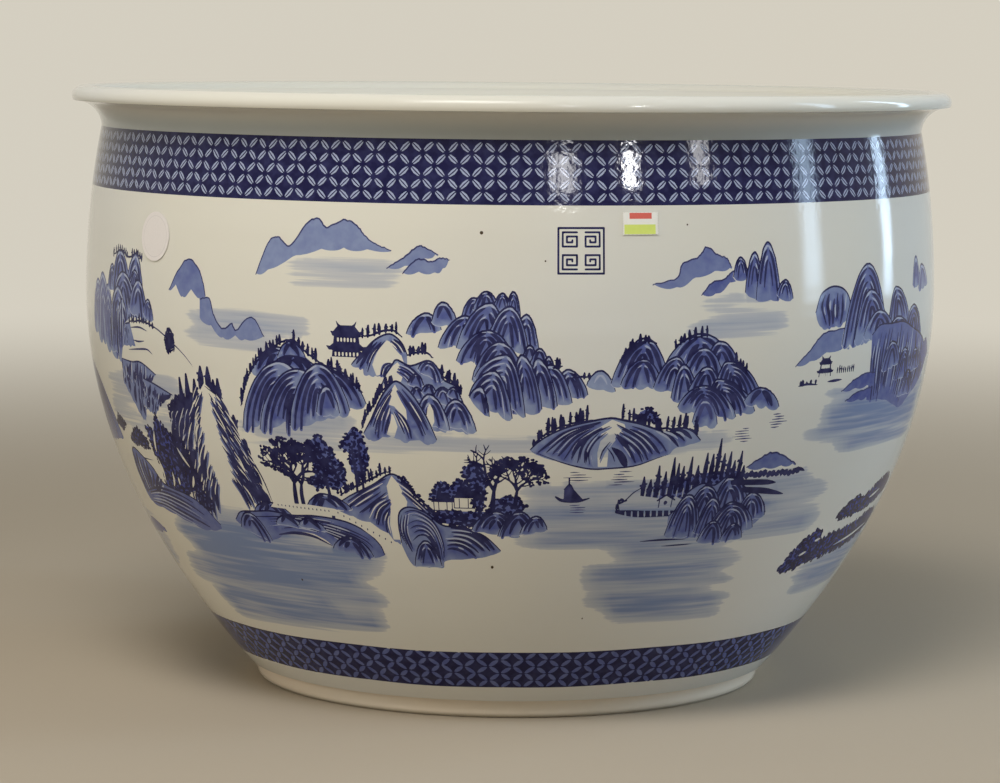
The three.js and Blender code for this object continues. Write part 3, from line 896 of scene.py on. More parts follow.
def waterRight():
    boat(8.4, 158, 23)
    stroke([14.4,154, 15.6,158, 16.6,163, 18,167], 0.9)
    thicket([14.4,153, 14.8,158, 16.6,156, 15.6,152], gaps=0)
    dab([14.6,150.5, 18,148.4, 23,148], 4.6, start=0.6, end=0.8)
    for deg in np.arange(15.8, 22.6, 0.9):
        stroke([(deg, 150), (deg + 0.1, 146.8)], 1.3, lay=wipe, start=0.8, end=0.8)
    foliage([17.8,160, 19,167, 22,170, 27,175, 31.6,175, 33,166, 28,158, 22,156], leaf=1.3, gap=3.0, under=0.8)
    for deg, base, tip in ((17.8, 160, 173), (18.7, 160, 171), (19.7, 159, 180), (20.7, 161, 176), (21.7, 160, 185),
        (22.4, 162, 181), (23.1, 163, 179), (24.1, 162, 185), (25.2, 165, 179), (26.3, 167, 187), (27.2, 168, 186),
        (28, 170, 196), (28.9, 170, 186), (29.8, 170, 187), (30.6, 170, 181), (31.5, 168, 187), (32.2, 168, 177)):
        x = across(deg)
        strokeMm([[x, base], [x + 0.2, (base + tip) / 2], [x + vary(-0.3, 0.3), tip]], vary(3.4, 4.2), tone=0.97,
            start=0.7, end=0.3, peak=0.35)
        for _ in range(4):
            z = base + (tip - base) * vary(0.15, 0.7)
            blob(x + rng.choice((-1, 1)) * vary(1.2, 2.0), z, 0.9, 0.8)
    for deg in (18.2, 19.2, 20.2, 21.2, 22.7, 23.6, 24.7):
        stroke([(deg, 159), (deg, 163 + vary(0, 4))], 0.9, lay=wipe, start=0.7, end=0.5)
    bare([15,151.5, 14.8,155, 17.4,160.5, 20.2,158.4, 20.4,157.5, 21.3,160.8, 22.3,157.5, 22.6,159, 24.6,155, 23,151],
        0.2)
    stroke([20.4,152.4, 20.4,157.4], 0.8, start=1, end=1)
    stroke([22.2,152.4, 22.2,157.4], 0.8, start=1, end=1)
    dab([20.1,157, 21.3,160.6], 1.1, start=1, end=1)
    dab([21.3,160.6, 22.6,157], 1.1, start=1, end=1)
    blob(across(21.3), 155.4, 1.5, 1.5)
    rock([22.1,146, 23.4,153, 24.2,161, 26.2,167, 28.2,165.5, 29.8,170.5, 31.4,168, 33.2,162.5, 35.4,157, 37.2,151,
        38.1,144],
        [22.1,145, 22.6,134, 24.4,130.5, 27.4,131, 28.4,126.5, 31.6,126, 34.6,127.5, 35.4,133, 37,138, 38.1,143],
        tone=0.5, drip=0.6)
    folds([(28.2,146, 30.2,170, 34.4,150, 3), (24.4,142, 27,165.5, 30.2,144, 3), (32.6,138, 34.6,158.5, 38.1,142, 3),
        (22.1,133, 24.6,160, 27.4,132, 4), (26.6,134, 28.4,157, 31,132, 3), (28.2,128, 31.6,153, 36.6,134, 5),
        (27.5,127.5, 29.4,141, 31.7,126, 2), (31.4,127, 33,138, 35.2,127.5, 2)], width=2.8, depth=1.8, tone=0.4)
    farHill([32.7,176, 34.5,181, 36.4,184.5, 39,181, 41.3,175], [32.7,175, 36,174.5, 39,175, 41.3,175], tone=0.75,
        edge=1.2)
    for deg in np.arange(33, 42.6, 0.75):
        blob(across(deg), 170.5 + vary(-0.6, 0.6), 2.3, 2.5)
    dab([31,166.5, 36,165, 38.4,164], 4.0, start=0.9)
    dab([41,172, 42.4,171.5, 43.4,170], 2.6)
    dab([33,161, 36.6,159, 40.4,155.5], 4.2, start=0.9)
    dab([18.6,129.5, 22,130, 26,129.5], 1.3)
    dab([22,125.5, 27,126], 1.1)


def foreground():
    washBand(-64, -19, 64, 126, 1.0)
    washBand(-58, -30, 90, 140, 0.7)
    washBand(11, 37, 72, 132, 0.75)
    washBand(42, 76, 180, 222, 0.8)
    washBand(-40, 30, 184, 204, 0.35)
    washBand(-4, 50, 128, 168, 0.62)
    washBand(-70, -44, 186, 226, 0.4)
    washBand(50, 76, 78, 112, 0.7)
    washBand(-84, -66, 84, 120, 0.5)
    # the hut and the dark trees on the left bank
    foliage([-57,146, -56.2,160, -57.2,172, -57.8,191, -55.6,188, -54,199, -52.6,192, -51,187, -49.8,190, -48,176,
        -46.8,152, -52,145], leaf=1.6, gap=2.4, under=1)
    for row in ([-55.4,187, -56,180, -56.4,172], [-56.6,168, -56.2,160, -56.6,151], [-50.4,178, -49.6,172, -48.6,166],
        [-54.4,150, -53.8,155, -53.6,160], [-52.6,152, -52.4,157], [-49.4,152, -48.8,156, -48.4,160]):
        stroke(row, 2.2, lay=wipe)
    bare([-65.4,172, -64,178, -58,179, -57.4,162, -62,163], 0.6)
    foliage([-64.4,177, -62.6,184, -60.8,188, -58.2,181, -58,174, -60,173, -61.4,175, -62.6,173], gap=1.6)
    stroke([-65.6,172, -62,166, -58,165.5], 1.0)
    rock([-66.6,140, -66,164, -64.4,171, -61.6,166, -59.4,160, -57.4,150, -52,146, -48.6,140, -46,128],
        [-66.6,138, -65,133, -60,131, -55,127, -50,123, -46,126], tone=0.7)
    comb([-65.8,169, -66.4,156, -65.9,136], [-60.6,163, -61.2,153, -62,144], 5, width=0.8, start=(0, 0.1))
    comb([-60,161, -61,152, -63,143], [-57.2,151, -58.4,147, -60,143], 3, width=0.7)
    comb([-65.8,141, -60,147, -54,146, -49.4,139, -46.2,128], [-65,133, -60,132, -56,128, -52,124.5, -49,122.5], 6,
        width=0.6, start=(0, 0.3), stop=(0.7, 1))
    foliage([-49,152, -47,150, -45.4,142, -46.4,136, -49,140], leaf=1.4)
    # trees on the near bank
    branchTree(-29.8, 150, 44, 1.1, width=3.8, leaf=1.5)
    branchTree(-28.7, 150, 42, 1.0, width=3.4, leaf=1.5)
    foliage([-27,184, -26.8,191, -25,197.5, -23.8,194, -22.6,184, -21.5,175, -21.5,166, -23,160, -24.6,163, -26,160,
        -27.4,165, -26,172, -26.2,178], leaf=1.35, gap=2.1)
    stroke([-24.4,142, -24.3,156, -24.5,172], 2.6, start=1, end=0.5)
    foliage([-20.8,186, -22,190, -21,198, -20,204, -18.6,200, -18.1,190, -17.8,183, -18.8,173, -19.6,168, -20.8,174],
        leaf=1.3, gap=2.2)
    for deg in (-20.2, -19.3):
        stroke([(deg, 158), (deg + 0.1, 175), (deg, 190)], 1.7, start=1, end=0.6)
    pineRow([-22.8,158, -21,163, -18,170, -16.6,174, -15.2,176], height=(3, 9), gap=2.6)
    # the big rock with its bare spine
    rock([-24.4,149, -21.4,158, -18,166, -15.3,174, -13.5,169, -12,159, -9.8,150, -9,142],
        [-24.4,149, -21,144, -18.4,140, -16.2,131, -14.6,128, -12,136, -9,141], tone=0.35, tintIn=0.25)
    bare([-15.2,173, -16,166, -15.8,152, -16.2,140, -16,130, -14,130, -14,145, -13.4,156, -14.4,168])
    comb([-15.8,172.5, -19.4,163, -23.8,150], [-15.8,161, -17.4,155, -20.4,145], 4, width=0.6, start=(0.02, 0.25))
    comb([-15.7,160.5, -18.2,155, -20,145], [-15.7,150, -16.4,142, -16.2,131], 5, width=0.6, start=(0, 0.25))
    comb([-14.9,173, -12.6,164, -9.4,147], [-14.7,163, -13,157, -9.8,143], 3, width=0.7, stop=(0.9, 1))
    foliage([-14.6,174, -13.2,171, -12,162, -10.8,155, -10.2,150, -11.8,158, -13.4,168], gap=1.8)
    # the near shore and its walled path
    folds([(-37.6,142, -34.6,149, -31,141, 2), (-28.4,147, -25.4,158, -21.4,149, 2)], width=2.6, tone=0.5, depth=1,
        dark=0.96)
    rock([-42,134, -40.4,140, -37.6,141.5, -34.6,143, -31,141.5, -27.4,142.5, -23,140.5, -20,134.5, -18.2,126,
        -17.7,119], [-42,133, -40,127, -37.5,121.5, -35,124, -33,128.5, -29.6,131, -27,128, -25,121.5, -22,119,
        -19.5,116.5, -17.7,119], tone=0.65, drip=0.5)
    comb([-39.6,140, -31,142, -22.6,139, -18,122], [-35.6,128, -30.4,133, -25,128, -22.6,119], 7, width=0.55,
        start=(0, 0.3), stop=(0.5, 0.8))
    comb([-30,141, -24,138, -19.6,130, -18,120], [-27,133, -24.6,128, -22,123, -21,118], 5, width=0.55,
        start=(0, 0.3))
    folds([(-41.4,129, -39,140, -36,122, 2), (-25.6,121, -22.6,130, -19.4,117, 2),
        (-34.2,135, -32.4,141, -29.6,134, 1), (-30.4,135, -28.6,140.5, -26,133, 1)], width=2.6, tone=0.4, depth=1,
        dark=0.96)
    stroke([-34.4,127, -31.4,129.4, -28.4,128.2, -25.6,122.5], 2.2)
    bare([-34.4,146, -33.6,149.5, -28,150, -24,148.5, -20.6,142, -16.6,134, -14.6,118, -17.4,118, -18.2,128,
        -20.8,137.5, -23.8,143.5, -27.6,145])
    for deg, z in [(-33 + k * 0.62, 148 - 0.1 * k) for k in range(14)] + [(-23.6 + k * 0.8,
        146 - 2 * k) for k in range(10)]:
        blob(across(deg), z, 0.5, 0.8, tone=0.8)
    # the near rocks right of the path
    rock([-14.9,128, -15,140, -14.6,149, -13.2,152.5, -11,149, -8.8,141, -6,140, -3.4,135, -1.9,129, -1,124.5],
        [-14.9,126, -13.7,113, -11.6,112, -9.3,112, -8.8,117, -6,118.5, -3,120.5, -1,124], tone=0.4, drip=0.5)
    comb([-14.6,148, -15,136, -14,120], [-13.2,151, -13.8,136, -13,122], 3, width=0.6)
    comb([-14.3,150, -12.4,152, -10,144, -8.9,130, -8.9,117], [-13.2,128, -12.3,132, -11.2,132, -10.3,125, -9.8,115],
        6, width=0.5, start=(0, 0.1), stop=(0.85, 1))
    comb([-8.7,141, -5,139.5, -2.6,132, -1.2,124.5], [-8.4,123, -7.6,124, -6.4,122, -5.6,119], 6, width=0.55,
        stop=(0.85, 1))
    folds([(-13.4,112.5, -11.5,130, -9.4,113, 2)], width=2.4, tone=0.3, depth=1)
    # hut, trees and rocks on the right
    foliage([-10.8,159, -9.6,166, -8.8,172, -7.6,168, -6.4,174, -5.2,170, -3.4,166, -3,158, -7,157], leaf=1.4)
    house(-8.6, 151, 15, 12)
    house(-5.8, 153, 16, 14)
    foliage([-10.6,148, -9,151.5, -2.6,151.5, -2.2,142, -6,140, -9,142], leaf=1.5)
    foliage([-6.2,177, -4.8,184.5, -3.6,184, -2.8,176, -2.8,163, -3.2,152, -4.8,154, -4.7,166], leaf=1.3, gap=2.1)
    branchTree(-2.1, 150, 46, 0.9, leaves=False, width=3.6, levels=4)
    branchTree(0.9, 154, 34, 0.8, width=2.8, leaf=1.4)
    foliage([-2.6,150, -2.4,157, -0.6,162, 1.4,160, 2.6,155, 1.6,148], leaf=1.4)
    folds([(-4.9,138.5, -1.6,151, 1.6,134, 3), (-1.4,134.5, 1.6,151, 3.8,137, 2), (1.6,136.5, 3.8,148, 5.3,139, 2)],
        width=2.9, tone=0.35, depth=1.2)


def landscape():
    farDistance()
    betweenLandscapes()
    leftCrags()
    roundHill()
    middleHills()
    centralMass()
    rightHills()
    farRight()
    island()
    waterRight()
    snowPeak()
    foreground()


# Painted outlines become edges of the wall's own mesh, so that the brush marks stay crisp without a picture
meshing = {
    "keep": 0.09,          # how far an edge may leave the brush mark, mm
    "outerGrid": 6.0,      # spacing of the plain mesh outside and inside
    "innerGrid": (12.0, 10.0),
    "clearOfInk": 0.9,
    "profileStep": 0.5,
    "curveSteps": 12,
    "curvePoints": 40,     # a run with fewer points than this keeps its own steps
    "mapMargin": 0.004,
    "insideShare": 0.12,   # of the map's height
}


# the zero lines of a painted field, as chains of points in mm
def tracePaint(field, firstRow):
    f = np.concatenate([field, field[:, :1]], 1)
    f = np.where(f == 0, 1e-4, f)
    inside = f > 0
    nRows, nColumns = f.shape
    flat = np.arange(nRows * nColumns).reshape(nRows, nColumns)
    level, upright = inside[:, :-1] != inside[:, 1:], inside[:-1] != inside[1:]
    levelId, uprightId = 2 * flat[:, :-1], 2 * flat[:-1] + 1
    sides = (level[:-1], upright[:, 1:], level[1:], upright[:, :-1])
    ids = (levelId[:-1], uprightId[:, 1:], levelId[1:], uprightId[:, :-1])
    count = sum(s.astype(np.int8) for s in sides)
    saddle = count == 4
    joined = (f[:-1, :-1] + f[1:, :-1] + f[:-1, 1:] + f[1:, 1:] > 0) == inside[:-1, :-1]
    cells = [(sides[a] & sides[b] & (count == 2), a, b) for a in range(4) for b in range(a + 1, 4)]
    cells += [(saddle & joined, 0, 1), (saddle & joined, 2, 3), (saddle & ~joined, 0, 3), (saddle & ~joined, 1, 2)]
    links = np.concatenate([np.stack([ids[a][pick], ids[b][pick]], 1) for pick, a, b in cells])
    names, where = np.unique(links, return_inverse=True)
    row, column = np.divmod(names // 2, nColumns)
    up = names % 2 == 1
    here = f[row, column]
    there = np.where(up, f[np.minimum(row + 1, nRows - 1), column], f[row, np.minimum(column + 1, nColumns - 1)])
    share = here / (here - there)
    points = np.stack([(column + np.where(up, 0, share)) * columnMm,
                       paintLow + (firstRow + row + np.where(up, share, 0)) * pixelMm], 1)
    after = [[] for _ in names]
    for a, b in where.reshape(links.shape).tolist():
        after[a].append(b)
        after[b].append(a)
    used = bytearray(len(names))
    chains = []
    for start in [i for i, n in enumerate(after) if len(n) == 1] + list(range(len(names))):
        chain, step = [], [] if used[start] else [start]
        while step:
            chain.append(step[0])
            used[step[0]] = 1
            step = [n for n in after[step[0]] if not used[n]]
        if len(after[start]) == 2 and len(chain) > 2:
            chain.append(start)
        if len(chain) > 3:
            chains.append(points[chain])
    return chains


# drops the points of a chain that lie within meshing["keep"] of a straight run
def thinOut(chain):
    keep = np.zeros(len(chain), bool)
    keep[0] = keep[-1] = True
    spans = [(0, len(chain) - 1)]
    if np.allclose(chain[0], chain[-1]):
        far = int(np.argmax(np.hypot(*(chain - chain[0]).T)))
        keep[far] = True
        spans = [(0, far), (far, len(chain) - 1)]
    while spans:
        a, b = spans.pop()
        if b - a < 2:
            continue
        run = chain[b] - chain[a]
        size = math.hypot(*run) or 1e-9
        off = np.abs(run[0] * (chain[a + 1:b, 1] - chain[a, 1]) - run[1] * (chain[a + 1:b, 0] - chain[a, 0])) / size
        at = int(np.argmax(off))
        if off[at] > meshing["keep"]:
            keep[a + 1 + at] = True
            spans += [(a, a + 1 + at), (a + 1 + at, b)]
    return chain[keep]


# the painted field at places in mm, between its pixels
def sample(field, x, z):
    c = np.clip(x / columnMm, 0, columns - 1e-6)
    r = np.clip((z - paintLow) / pixelMm, 0, rows - 1 - 1e-6)
    c0, r0 = c.astype(int), r.astype(int)
    c1, r1 = (c0 + 1) % columns, np.minimum(r0 + 1, rows - 1)
    u, v = c - c0, r - r0
    c0 %= columns
    return (field[r0, c0] * (1 - u) + field[r0, c1] * u) * (1 - v) + (field[r1, c0] * (1 - u) + field[r1, c1] * u) * v


def softened(field, times):
    for _ in range(times):
        field = (field + np.roll(field, 1, 1) + np.roll(field, -1, 1)
                 + np.vstack([field[:1], field[:-1]]) + np.vstack([field[1:], field[-1:]])) / 5
    return field


def linked(name, data):
    thing = bpy.data.objects.new(name, data)
    bpy.context.collection.objects.link(thing)
    return thing


def straight(a, b):
    return np.array([a, b], float)


def skin(radiusAt, low, high):
    z = np.linspace(low, high, max(int(abs(high - low) / meshing["profileStep"]), 2) + 1)
    return np.stack([radiusAt(z), z], 1)


# from a radius and a place along the canvas to X, Y and Z
def onAxis(radius, x, z):
    turn = (x / mmPerDegree + seamDegree) * math.pi / 180
    return np.stack([radius * np.sin(turn), -radius * np.cos(turn), z], -1)


# one thrown section: a closed profile turned about the axis, with the painting cut into its outside.
# inner lists the runs of the profile after the outer skin, each a chain of (radius, height).
def paintedWall(name, low, high, inner, uvRows):
    outer = skin(outerRadius, low, high)
    runs = [straight(inner[-1][-1], outer[0]), outer, *inner]
    marks, tables = [low - np.hypot(*(runs[0][1] - runs[0][0]))], []
    for run in runs:
        s = marks[-1] + (run[:, 1] - low if run is outer else lengths(run))
        tables.append((s, run))
        marks.append(s[-1])
    around = columns * columnMm
    points, edges, seen = [], [], {}
    coarse, tall = meshing["innerGrid"]

    def place(x, s):
        key = (round(x, 4), round(s, 4))
        if key not in seen:
            seen[key] = len(points)
            points.append((float(x), float(s)))
        return seen[key]

    def fence(chain):
        chain = np.asarray(chain, float)
        ids = [place(*chain[0])]
        for a, b in zip(chain[:-1], chain[1:]):
            parts = int(abs(b[0] - a[0]) / coarse) + 1    # a long edge is cut, so that it follows the round wall
            ids += [place(*(a + (b - a) * k / parts)) for k in range(1, parts + 1)]
        edges.extend((a, b) for a, b in zip(ids[:-1], ids[1:]) if a != b)

    wide = int(around / coarse)
    fine = int(around / meshing["outerGrid"])
    for i, mark in enumerate(marks):
        n = fine if i in (1, 2) else wide
        fence([(around * k / n, mark) for k in range(n + 1)])
    layers = int((high - low) / meshing["outerGrid"])
    levels = [low + (high - low) * j / layers for j in range(1, layers)]
    for k in range(uvRows + 1):
        fence([(around * k / uvRows, m) for m in sorted(set(marks) | set(levels))])
    x = around * (np.arange(fine + 1)) / fine
    for z in levels:
        near = np.minimum(*(np.abs(sample(f, x, z + 0 * x)) for f in (ink, fill))) < meshing["clearOfInk"]
        near[0] = near[-1] = False
        for k in np.flatnonzero(~near):
            place(x[k], z)
    for s, run in tables[2:]:
        steps = len(run) - 1 if 2 < len(run) < meshing["curvePoints"] else max(int((s[-1] - s[0]) / tall), 1)
        for j in range(1, steps):
            for k in range(wide + 1):
                place(around * k / wide, s[0] + (s[-1] - s[0]) * j / steps)
    firstRow, lastRow = (int(round((min(max(z, paintLow), paintHigh) - paintLow) / pixelMm)) for z in (low, high))
    for field in (ink, fill):
        for chain in tracePaint(field[firstRow:lastRow + 1], firstRow):
            fence(thinOut(chain))
    for degree, z, radius in specks:
        if low < z < high:
            a = np.linspace(0, 2 * np.pi, 9)
            fence(np.stack([across(degree) + radius * np.cos(a), z + radius * np.sin(a)], 1))

    corners, _, faces, _, _, _ = delaunay_2d_cdt([Vector(p) for p in points], edges, [], 0, 1e-5, False)
    flat = np.array([tuple(c) for c in corners])
    faces = np.array([f[:] for f in faces])
    print(name, len(points), "points", len(faces), "faces")

    # the seam and the hidden corner are welded
    target = np.arange(len(flat))
    for axis, first, last in ((0, 0.0, around), (1, marks[0], marks[-1])):
        other = 1 - axis
        at = {round(float(flat[i, other]), 2): i for i in np.flatnonzero(np.abs(flat[:, axis] - first) < 1e-3)}
        for i in np.flatnonzero(np.abs(flat[:, axis] - last) < 1e-3):
            target[i] = at.get(round(float(flat[i, other]), 2), i)
    welded = target[target][faces]
    whole = (welded != np.roll(welded, 1, 1)).all(1)
    faces, welded = faces[whole], welded[whole]
    kept, local = np.unique(welded, return_inverse=True)

    loops = flat[faces]
    middle = loops.mean(1)
    run = np.clip(np.searchsorted(marks, middle[:, 1]) - 1, 0, len(tables) - 1)
    normalOut, normalUp = np.zeros(loops.shape[:2]), np.zeros(loops.shape[:2])
    pointRadius, pointHeight = np.zeros(len(flat)), np.zeros(len(flat))
    for i, (s, table) in enumerate(tables):
        pick = run == i
        here = loops[pick][:, :, 1]
        tangent = np.gradient(table, s, axis=0)
        normalOut[pick] = np.interp(here, s, tangent[:, 1])
        normalUp[pick] = np.interp(here, s, -tangent[:, 0])
        inRun = (flat[:, 1] >= s[0] - 1e-2) & (flat[:, 1] <= s[-1] + 1e-2)
        pointRadius[inRun] = np.interp(flat[inRun, 1], s, table[:, 0])
        pointHeight[inRun] = np.interp(flat[inRun, 1], s, table[:, 1])
    body = onAxis(pointRadius, flat[:, 0], pointHeight) * metre
    mesh = bpy.data.meshes.new(name)
    mesh.from_pydata(body[kept].tolist(), [], local.reshape(welded.shape).tolist())
    normal = onAxis(normalOut, loops[:, :, 0], normalUp).reshape(-1, 3)
    normal /= np.maximum(np.linalg.norm(normal, axis=1, keepdims=True), 1e-9)
    mesh.normals_split_custom_set(normal.tolist())

    def attribute(key, domain, value):
        mesh.attributes.new(key, "FLOAT", domain).data.foreach_set("value", value.astype(np.float32))

    painted = run == 1
    x, z = middle.T
    attribute("ink", "FACE", painted & (sample(ink, x, z) > 0))
    attribute("fill", "FACE", painted & (sample(fill, x, z) > 0))
    attribute("tint", "FACE", painted * np.clip(sample(tint, x, z), 0, 1))
    attribute("iron", "FACE", painted & (sum((np.hypot(x - across(d), z - h) < r) for d, h, r in specks) > 0))
    x, z = flat[kept].T
    for key, field in (("inkTone", inkTone), ("fillTone", fillTone), ("wash", wash)):
        attribute(key, "POINT", np.where((z >= low - 1e-3) & (z <= high + 1e-3), sample(field, x, z), 0))
    foldedMap(mesh, loops, middle, run, marks, uvRows)
    return linked(name, mesh)


# lays the long outer strip in rows, and the plain inside in one thin strip above them
def foldedMap(mesh, loops, middle, run, marks, uvRows):
    margin, insideShare = meshing["mapMargin"], meshing["insideShare"]
    start, low, high = marks[:3]
    x, s = loops[:, :, 0] / (columns * columnMm), loops[:, :, 1]
    row = np.clip((middle[:, :1] / (columns * columnMm) * uvRows).astype(int), 0, uvRows - 1)
    outside, below = (run == 1)[:, None], (run == 0)[:, None]
    tall = (1 - insideShare) / uvRows
    vOut = row * tall + margin + (s - low) / (high - low) * (tall - 2 * margin)
    deep = np.where(below, 0.965 + 0.03 * (s - start) / (low - start), 0.96 * (s - high) / (marks[-1] - high))
    vIn = 1 - insideShare + margin + deep * (insideShare - 2 * margin)
    uv = np.stack([margin + np.where(outside, x * uvRows - row, x) * (1 - 2 * margin), np.where(outside, vOut, vIn)], 2)
    mesh.uv_layers.new(name="OFBake").data.foreach_set("uv", uv.reshape(-1).astype(np.float32))


landscape()
shift = painting["backTurn"]
landscape()
shift = 0
print("landscape painted")
for side in ("upper", "lower"):
    petalBand(**bands[side])
fretSquare()
wash, inkTone, fillTone = softened(wash, 2), softened(inkTone, 3), softened(fillTone, 2)


# points along a quadratic or cubic curve
def bezier(points, steps):
    p = np.asarray(points, float)
    t = np.linspace(0, 1, steps + 1)[:, None]
    n = len(p) - 1
    return sum(math.comb(n, i) * (1 - t) ** (n - i) * t ** i * p[i] for i in range(n + 1))


def ellipse(centre, reach, rise, start, end, steps):
    a = np.linspace(math.radians(start), math.radians(end), steps + 1)
    return np.stack([centre[0] + reach * np.cos(a), centre[1] + rise * np.sin(a)], 1)


# the sections are luted together on half laps, and the glaze closes the joints
def lapRadius(joint):
    return (outerRadius(joint) + innerRadius(joint)) / 2


def raisedLap(joint):
    r, top = lapRadius(joint), joint + lapHeight
    return [straight((outerRadius(joint), joint), (r, joint)), straight((r, joint), (r, top)),
            straight((r, top), (innerRadius(top), top))]


def hollowLap(joint):
    r, roof = lapRadius(joint), joint + lapHeight
    return [straight((innerRadius(roof), roof), (r, roof)), straight((r, roof), (r, joint))]


def wallSection(name, low, high, uvRows):
    inner = skin(innerRadius, high + lapHeight, low + lapHeight)
    return paintedWall(name, low, high, [*raisedLap(high), inner, *hollowLap(low)], uvRows)


def lowerWall(name, high, uvRows):
    bore = floorRadius + vessel["floorGap"]
    coveTop = floorTop + vessel["heelCoveHeight"]
    heelCove = bezier([(innerRadius(coveTop), coveTop), (innerRadius(floorTop), floorTop), (bore, floorTop)],
                      meshing["curveSteps"])
    inner = skin(innerRadius, high + lapHeight, coveTop)
    hole = straight((bore, floorTop), (bore, footHeight))
    return paintedWall(name, footHeight, high, [*raisedLap(high), inner, heelCove, hole], uvRows)


turning = {
    "steps": 256,
    "sharpAngle": 40,
    "weld": 2e-5,
    "undercutAngle": -25,
    "innerAngle": 162,
    "outerSteps": 22,
    "innerSteps": 14,
    "coveSteps": 18,
    "throatSteps": 12,
    "roundSteps": 10,
    "chamferSteps": 6,
}


# welds, turns the faces outwards, marks the sharp edges and makes the piece
def finished(shape, name):
    bmesh.ops.remove_doubles(shape, verts=shape.verts, dist=turning["weld"])
    bmesh.ops.recalc_face_normals(shape, faces=shape.faces)
    for face in shape.faces:
        face.smooth = True
    for edge in shape.edges:
        edge.smooth = edge.calc_face_angle(0) < math.radians(turning["sharpAngle"])
    mesh = bpy.data.meshes.new(name)
    shape.to_mesh(mesh)
    shape.free()
    return linked(name, mesh)


# spins a profile of (radius, height) points once about the vertical axis
def turned(name, profile, closed=True):
    shape = bmesh.new()
    spots = [shape.verts.new((r * metre, 0, z * metre)) for r, z in profile]
    ends = spots + spots[:1] if closed else spots
    for pair in zip(ends[:-1], ends[1:]):
        shape.edges.new(pair)
    bmesh.ops.spin(shape, geom=shape.verts[:] + shape.edges[:], axis=(0, 0, 1), cent=(0, 0, 0),
                   angle=2 * math.pi, steps=turning["steps"], use_merge=True)
    return finished(shape, name)


def rolledLip():
    roll, roof = vessel["rollHeight"], neckHeight + lapHeight
    centre = neckRadius + vessel["crestOverhang"], vessel["rimHeight"] - roll
    outer = ellipse(centre, vessel["crestOuterReach"], roll, turning["undercutAngle"], 90, turning["outerSteps"])
    inner = ellipse(centre, vessel["crestInnerReach"], roll, 90, turning["innerAngle"], turning["innerSteps"])
    foot = innerRadius(roof)
    cove = bezier([(neckRadius, neckHeight), (neckRadius, neckHeight + vessel["coveRise"]),
                   (outer[0][0] - vessel["coveReach"], outer[0][1]), outer[0]], turning["coveSteps"])
    throat = bezier([inner[-1], (foot, roof + vessel["throatRise"]), (foot, roof)], turning["throatSteps"])
    lap = hollowLap(neckHeight)
    return turned("rimLip", [*cove, *outer[1:], *inner[1:], *throat[1:], lap[0][1], lap[1][1]])


def baseFloor():
    edge = vessel["floorEdge"]
    return turned("baseFloor", [(0, footHeight), (floorRadius, footHeight), (floorRadius, floorTop - edge),
                                (floorRadius - edge * 0.3, floorTop - edge * 0.3), (floorRadius - edge, floorTop),
                                (floorRadius / 2, floorTop), (0, floorTop)], closed=False)


def footRing():
    chamfer, width, height = vessel["footChamfer"], vessel["footRoundWidth"], vessel["footRoundHeight"]
    outerRound = ellipse((footOuterRadius - width, height), width, height, -90, 0, turning["roundSteps"])
    innerRound = ellipse((footInnerRadius + chamfer, chamfer), chamfer, chamfer, 180, 270, turning["chamferSteps"])
    return turned("footRing", [*innerRound, *outerRound, (footOuterRadius, footHeight), (footInnerRadius, footHeight)])


labels = {
    "paperThickness": 0.35,
    "paperGap": 0.3,
    "lotDiameter": 32,
    "lotAngle": -51.4,
    "lotClearance": 3.5,
    "lotRings": (0.16, 0.2, 0.25, 0.33, 0.5),
    "lotSegments": 96,
    "priceWidth": 23,
    "priceHeight": 14,
    "priceAngle": 15.9,
    "priceDrop": 3,
    "priceWave": 0.45,
    "priceTeeth": 9,
}


# lays a flat label, drawn in X and Y in mm, on the wall, and gives it its paper's thickness
def wrapLabel(shape, angle, height):
    closed = bmesh.ops.extrude_face_region(shape, geom=shape.faces[:])
    for item in closed["geom"]:
        if isinstance(item, bmesh.types.BMVert):
            item.co.z += labels["paperThickness"]
    flat = shape.verts.layers.float_vector.new("sheet")
    tilt = math.atan(outerSlope(height))
    for vert in shape.verts:
        vert[flat] = vert.co
        z = height + vert.co.y * math.cos(tilt)
        radius = outerRadius(z) + labels["paperGap"] + vert.co.z
        turn = math.radians(angle) + vert.co.x / outerRadius(height)
        vert.co = Vector((radius * math.sin(turn), -radius * math.cos(turn), z)) * metre


def lotLabel():
    shape = bmesh.new()
    rim = labels["lotDiameter"] / 2

    def disc():
        return [f for f in shape.faces if len(f.verts) > 4]

    bmesh.ops.create_circle(shape, cap_ends=True, radius=rim, segments=labels["lotSegments"])
    for share in labels["lotRings"]:
        bmesh.ops.inset_region(shape, faces=disc(), thickness=rim * share * 0.6, use_even_offset=True)
    bmesh.ops.poke(shape, faces=disc())
    wrapLabel(shape, labels["lotAngle"], shoulderJoint - labels["lotClearance"] - rim)
    return finished(shape, "lotLabel")


# the label gun cuts a shallow zigzag into the edges
def priceLabel():
    shape = bmesh.new()
    wide, up = labels["priceTeeth"] * 4, labels["priceTeeth"] * 2
    bmesh.ops.create_grid(shape, x_segments=wide, y_segments=up, size=0.5)
    for vert in shape.verts:
        column = round((vert.co.x + 0.5) * wide)
        row = round((vert.co.y + 0.5) * up)
        x = vert.co.x * labels["priceWidth"]
        y = vert.co.y * labels["priceHeight"]
        if column in (0, wide) and row % 2 == 1:
            x -= math.copysign(labels["priceWave"], x)
        if row in (0, up) and column % 4 == 2:
            y -= math.copysign(labels["priceWave"], y)
        vert.co = (x, y, 0)
    wrapLabel(shape, labels["priceAngle"], shoulderJoint - labels["priceDrop"])
    return finished(shape, "priceLabel")


